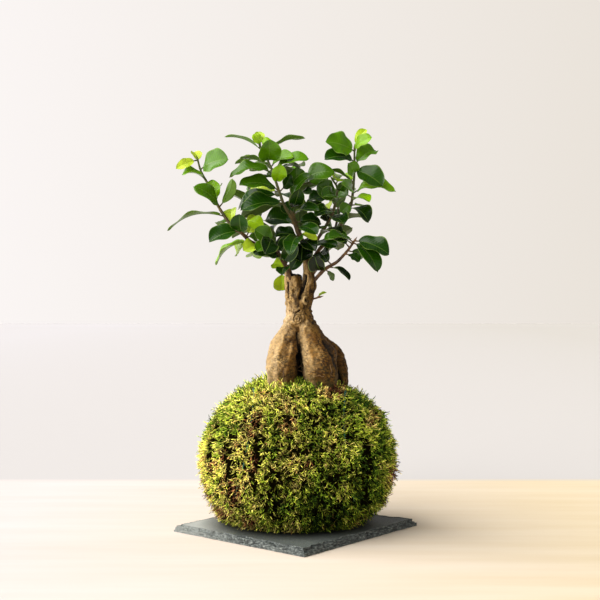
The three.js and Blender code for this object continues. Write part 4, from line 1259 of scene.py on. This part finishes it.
AGES_AND_LIGHT = {
    # how young the leaves are at the stem's start and at its tip, from 0 to 1; partly painted light, as the
    # two sprays on the left, toward the window, are set younger and so brighter
    "spray_left_low": (0.3, 0.6), "spray_left_high": (0.3, 0.7), "spray_crown_left": (0.06, 0.5),
    "spray_crown_middle": (0.04, 0.4), "spray_right_high": (0.1, 0.5),
}
USUAL_AGE = (0.03, 0.32)
print("leaves given by hand:", sum(len(rows) for _, _, rows in SPRAYS.values() if isinstance(rows, list)))

# %% [markdown]
# ### Where a leaf starts and which way it leans
#
# In the frame a leaf that would cross its neighbours leans to the front or back in steps of a few
# millimetres. The taken lean isn't in the table, so it is found again: of all possible tips, the true one is
# the one that has a corner of the frame's solid right on it.

# %% Sprays: starts, rules and leans
LEANS = [(1 if k % 2 else -1) * math.ceil(k / 2) * 3 for k in range(21)]
BACK_LEAVES = 7
BACK_TURN = 137.5
BACK_SPREAD = 52


def along(points, at):
    """The point at a share of a line's length."""
    lengths = np.linalg.norm(np.diff(points, axis=0), axis=1)
    left = at * lengths.sum()
    for start, end, length in zip(points[:-1], points[1:], lengths):
        if left <= length:
            return start + (end - start) * left / length
        left -= length
    return points[-1]


def leaves_by_rule(stem, turn):
    """Rows like the table's for a spray at the back."""
    rows = []
    for i in range(BACK_LEAVES):
        at = 0.3 + 0.7 * i / (BACK_LEAVES - 1)
        ahead = unit(along(stem, min(1, at + 0.1)) - along(stem, at - 0.1))
        side = unit(np.cross((0, 0, 1), ahead))
        top = np.cross(ahead, side)
        round_stem, off_stem = math.radians(turn + i * BACK_TURN), math.radians(BACK_SPREAD)
        long = 40 - 12 * at
        to = (side * math.cos(round_stem) + top * math.sin(round_stem)) * math.sin(off_stem)
        to = ahead * math.cos(off_stem) + to
        rows.append([at, *(to * long), long * 0.48, *(ahead + (0, 0, 0.6))])
    return rows


def taken_lean(tip, corners):
    """How far the frame's leaf leans, by which of its possible tips has a corner nearest to it."""
    misses = [np.linalg.norm(corners - tip - (0, lean, 0), axis=1).min() for lean in LEANS]
    return LEANS[int(np.argmin(misses))]


print("a leaf may lean from", min(LEANS), "to", max(LEANS), "mm")

# %% [markdown]
# ### One leaf
#
# A fig leaf is an arched oval, a little folded along its midrib, with a soft wave in its margin and a tip
# that turns down. A ring of points runs over the top of the blade and back underneath it, and rings at many
# stations along the leaf make a closed thin shell with a groove above the midrib and a ridge below it.

# %% Leaves: the blade
BLADE_STATIONS = 21
ACROSS = np.array([-1, -0.86, -0.62, -0.34, -0.09, 0, 0.09, 0.34, 0.62, 0.86, 1])
BLUNT = (0.5, 0.72)
TWIST = (-0.3, 0.3)
FOLD = (0.16, 0.44)
WAVE = (0.03, 0.09)
WAVES = (1.2, 2.4)
DROOP = (0.01, 0.09)
STALK_LONG = 4
STALK_RADII = (0.72, 0.5)
STALK_POINTS = 5


def blade_width(along_blade, blunt):
    """Half a blade's width along its length, as a share of its widest."""
    return along_blade ** 0.75 * (1 - along_blade) ** blunt / (0.6 ** 0.75 * 0.4 ** blunt)


def leaf_shape(start, to, wide, face, index, draw):
    """A leaf as a closed shell, three numbers for each of its points, and its stalk."""
    long = np.linalg.norm(to)
    ahead = to / long
    upper = unit(face - ahead * (face @ ahead))
    side = np.cross(ahead, upper)
    bow = (0.09 + 0.09 * ((index * 0.618) % 1)) * long
    stalk = min(STALK_LONG, 0.25 * long) / long
    at = 0.5 - 0.5 * np.cos(np.linspace(0.03, 0.965, BLADE_STATIONS) * math.pi)
    share = stalk + (1 - stalk) * at
    half = np.maximum(wide / 2 * blade_width(at, draw.uniform(*BLUNT)), 0.35)
    middle = start + share[:, None] * to + upper * (4 * bow * share * (1 - share))[:, None]
    out = unit(upper - ahead * (4 * bow * (1 - 2 * share) / long)[:, None])
    twist = draw.uniform(*TWIST) * (at - 0.4)
    beside = swing(twist, side, out)
    above = swing(twist, out, -side)
    fold = draw.uniform(*FOLD)
    wave = draw.uniform(*WAVE) * wide
    wave = wave * np.sin(2 * math.pi * (draw.uniform(*WAVES) * at + draw.random()))
    droop = draw.uniform(*DROOP) * long * at ** 3
    across = np.concatenate([ACROSS, ACROSS[::-1]])
    under = np.repeat([0.0, 1.0], len(ACROSS))
    edge = np.abs(across)
    thick = 0.24 - 0.12 * edge ** 2
    rib = np.exp(-(across / 0.07) ** 2)
    skin_lift = np.where(under > 0, -thick - 0.32 * rib, thick - 0.2 * rib)
    lift = (fold * half[:, None] * edge ** 1.5 + wave[:, None] * edge ** 2.5 - droop[:, None]
            + skin_lift * np.minimum(half / 1.5, 1)[:, None])
    rings = middle[:, None] + beside[:, None] * (across * half[:, None])[:, :, None]
    rings = rings + above[:, None] * lift[:, :, None]
    points = np.concatenate([rings.reshape(-1, 3), [middle[0], start + to - upper * droop[-1]]])
    blade = points, *skin_faces(BLADE_STATIONS, len(across))
    numbers = [np.repeat(at, len(across)), np.tile(across, BLADE_STATIONS), np.tile(under, BLADE_STATIONS)]
    numbers = np.concatenate([np.column_stack(numbers), [[0, 0, 0.5], [1, 0, 0.5]]])
    on_stalk = np.linspace(0, stalk + 0.02, STALK_POINTS)[:, None]
    stalk_line = start + on_stalk * to + upper * (4 * bow * on_stalk * (1 - on_stalk))
    return blade, numbers, tube(stalk_line, np.linspace(*STALK_RADII, STALK_POINTS), 6)


print("a blade has", BLADE_STATIONS, "stations of", 2 * len(ACROSS), "points")

# %% [markdown]
# ### The leaves' finish
#
# Old fig leaves are deep green and waxy, and young ones yellow-green. The number that picks a leaf's green
# also carries painted light. The midrib and the fine side veins are paler. The thin margin is painted paler
# as a painted highlight along the rim, and the underside is light. The numbers that each point of a leaf
# carries say where it lies on the blade, so the veins follow every leaf's own shape.

# %% Leaves: finishes
VEIN_SLANT = 0.16
VEIN_STRIPES = 78.0
GREEN_STEM = (250 * MM, 310 * MM)

leaf_look = Finish("fig_leaf", 0.22, 0.28)
# The green is set by each leaf's value, partly its age and partly painted light and shade.
leaf_look.colour(leaf_look.ramp(
    leaf_look.value("age_and_light"),
    (0.0, 3, 21, 0), (0.2, 27, 66, 0), (0.45, 90, 140, 4), (0.7, 140, 188, 10), (1.0, 204, 224, 56)))
leaf_look.times(leaf_look.ramp(leaf_look.noise(150, 3), (0.3, 0.72), (0.7, 1.12)), 0.8)
from_rib = leaf_look.maths("ABSOLUTE", leaf_look.value("across"))
behind = leaf_look.maths("MULTIPLY", from_rib, VEIN_SLANT)
slant = leaf_look.maths("SUBTRACT", leaf_look.value("along"), behind)
stripes = leaf_look.maths("SINE", leaf_look.maths("MULTIPLY", slant, VEIN_STRIPES))
leaf_look.over((130, 160, 70), leaf_look.ramp(stripes, (0.8, 0.0), (1.0, 1.0)), 0.05)
leaf_look.over((120, 150, 64), leaf_look.ramp(from_rib, (0.015, 1.0), (0.06, 0.0)), 0.35)
# Painted highlight: a pale rim along every leaf's margin.
leaf_look.over((150, 178, 84), leaf_look.ramp(from_rib, (0.9, 0.0), (0.99, 1.0)), 0.45)
leaf_look.over(leaf_look.mix(0.45, leaf_look.tone, (104, 128, 62)), leaf_look.value("under"))
leaf_look.bump(leaf_look.maths("ADD", stripes, leaf_look.noise(300, 3)), 0.06, 0.4)

twig_look = Finish("green_twig", 0.6)
twig_look.mottle(160, 4, (0.3, 40, 24, 6), (0.55, 86, 54, 18), (0.75, 122, 88, 38))
twig_look.over((66, 88, 22), twig_look.fade(twig_look.split(twig_look.place())[2], *GREEN_STEM, 0.0, 0.8))
twig_look.bump(twig_look.noise(500, 3), 0.3, 0.6)
print("finishes:", leaf_look.material.name, twig_look.material.name)

# %% [markdown]
# ### Growing the sprays
#
# Every spray is one piece: its stem with a pointed bud at the end, its stalks and its leaves.

# %% Sprays: stems, stalks and leaves
SHARP_MARGIN = 60
STEM_SIDES = 10
AGE_SCATTER = 0.07
BUD = 4.5
BUD_AT = np.array([0.25, 0.6, 1.0])
BUD_RADII = (0.85, 0.5, 0.06)

for number, (name, (stem, radii, rows)) in enumerate(SPRAYS.items()):
    draw = np.random.default_rng(100 + number)
    corners = frame_points(name)
    stem = np.array(stem, float)
    line = smooth_line(stem, 6)
    radii = np.linspace(*radii, len(line)) * (1 + 0.06 * np.sin(np.arange(len(line)) * 1.9))
    bud_line = line[-1] + unit(stem[-1] - stem[-2]) * BUD_AT[:, None] * BUD
    twigs = [tube(np.concatenate([line, bud_line]), np.concatenate([radii, BUD_RADII]), STEM_SIDES)]
    blades, numbers = [], []
    # The ages at the stem's start and tip also carry the painted light set in the table.
    age_low, age_high = AGES_AND_LIGHT.get(name, USUAL_AGE)
    if isinstance(rows, int):
        rows = leaves_by_rule(stem, rows)
    for index, (at, x, y, z, wide, *face_age_and_light) in enumerate(rows):
        start = along(stem, at)
        to = np.array([x, y, z], float)
        to[1] += taken_lean(start + to, corners)
        blade, values, stalk = leaf_shape(start, to, wide, np.array(face_age_and_light[:3], float), index, draw)
        usual_age = age_low + (age_high - age_low) * at ** 2 + draw.normal(0, AGE_SCATTER)
        age_and_light = np.clip(face_age_and_light[3] if len(face_age_and_light) > 3 else usual_age, 0, 1)
        blades.append(blade)
        numbers.append(np.column_stack([values, np.full(len(values), age_and_light)]))
        twigs.append(stalk)
    twigs, blades = gather(twigs), gather(blades)
    leafy = make_piece("leafy_" + name, *gather([twigs, blades]), sharp=SHARP_MARGIN)
    numbers = np.concatenate([np.zeros((len(twigs[0]), 4)), *numbers])
    give(leafy, **dict(zip(("along", "across", "under", "age_and_light"), numbers.T)))
    slots = [np.repeat([0, 1], (len(twigs[kind]), len(blades[kind]))) for kind in (1, 2)]
    leafy.data.polygons.foreach_set("material_index", np.concatenate(slots).astype(np.int32))
    settle(leafy, "leaf", [twig_look, leaf_look], name)
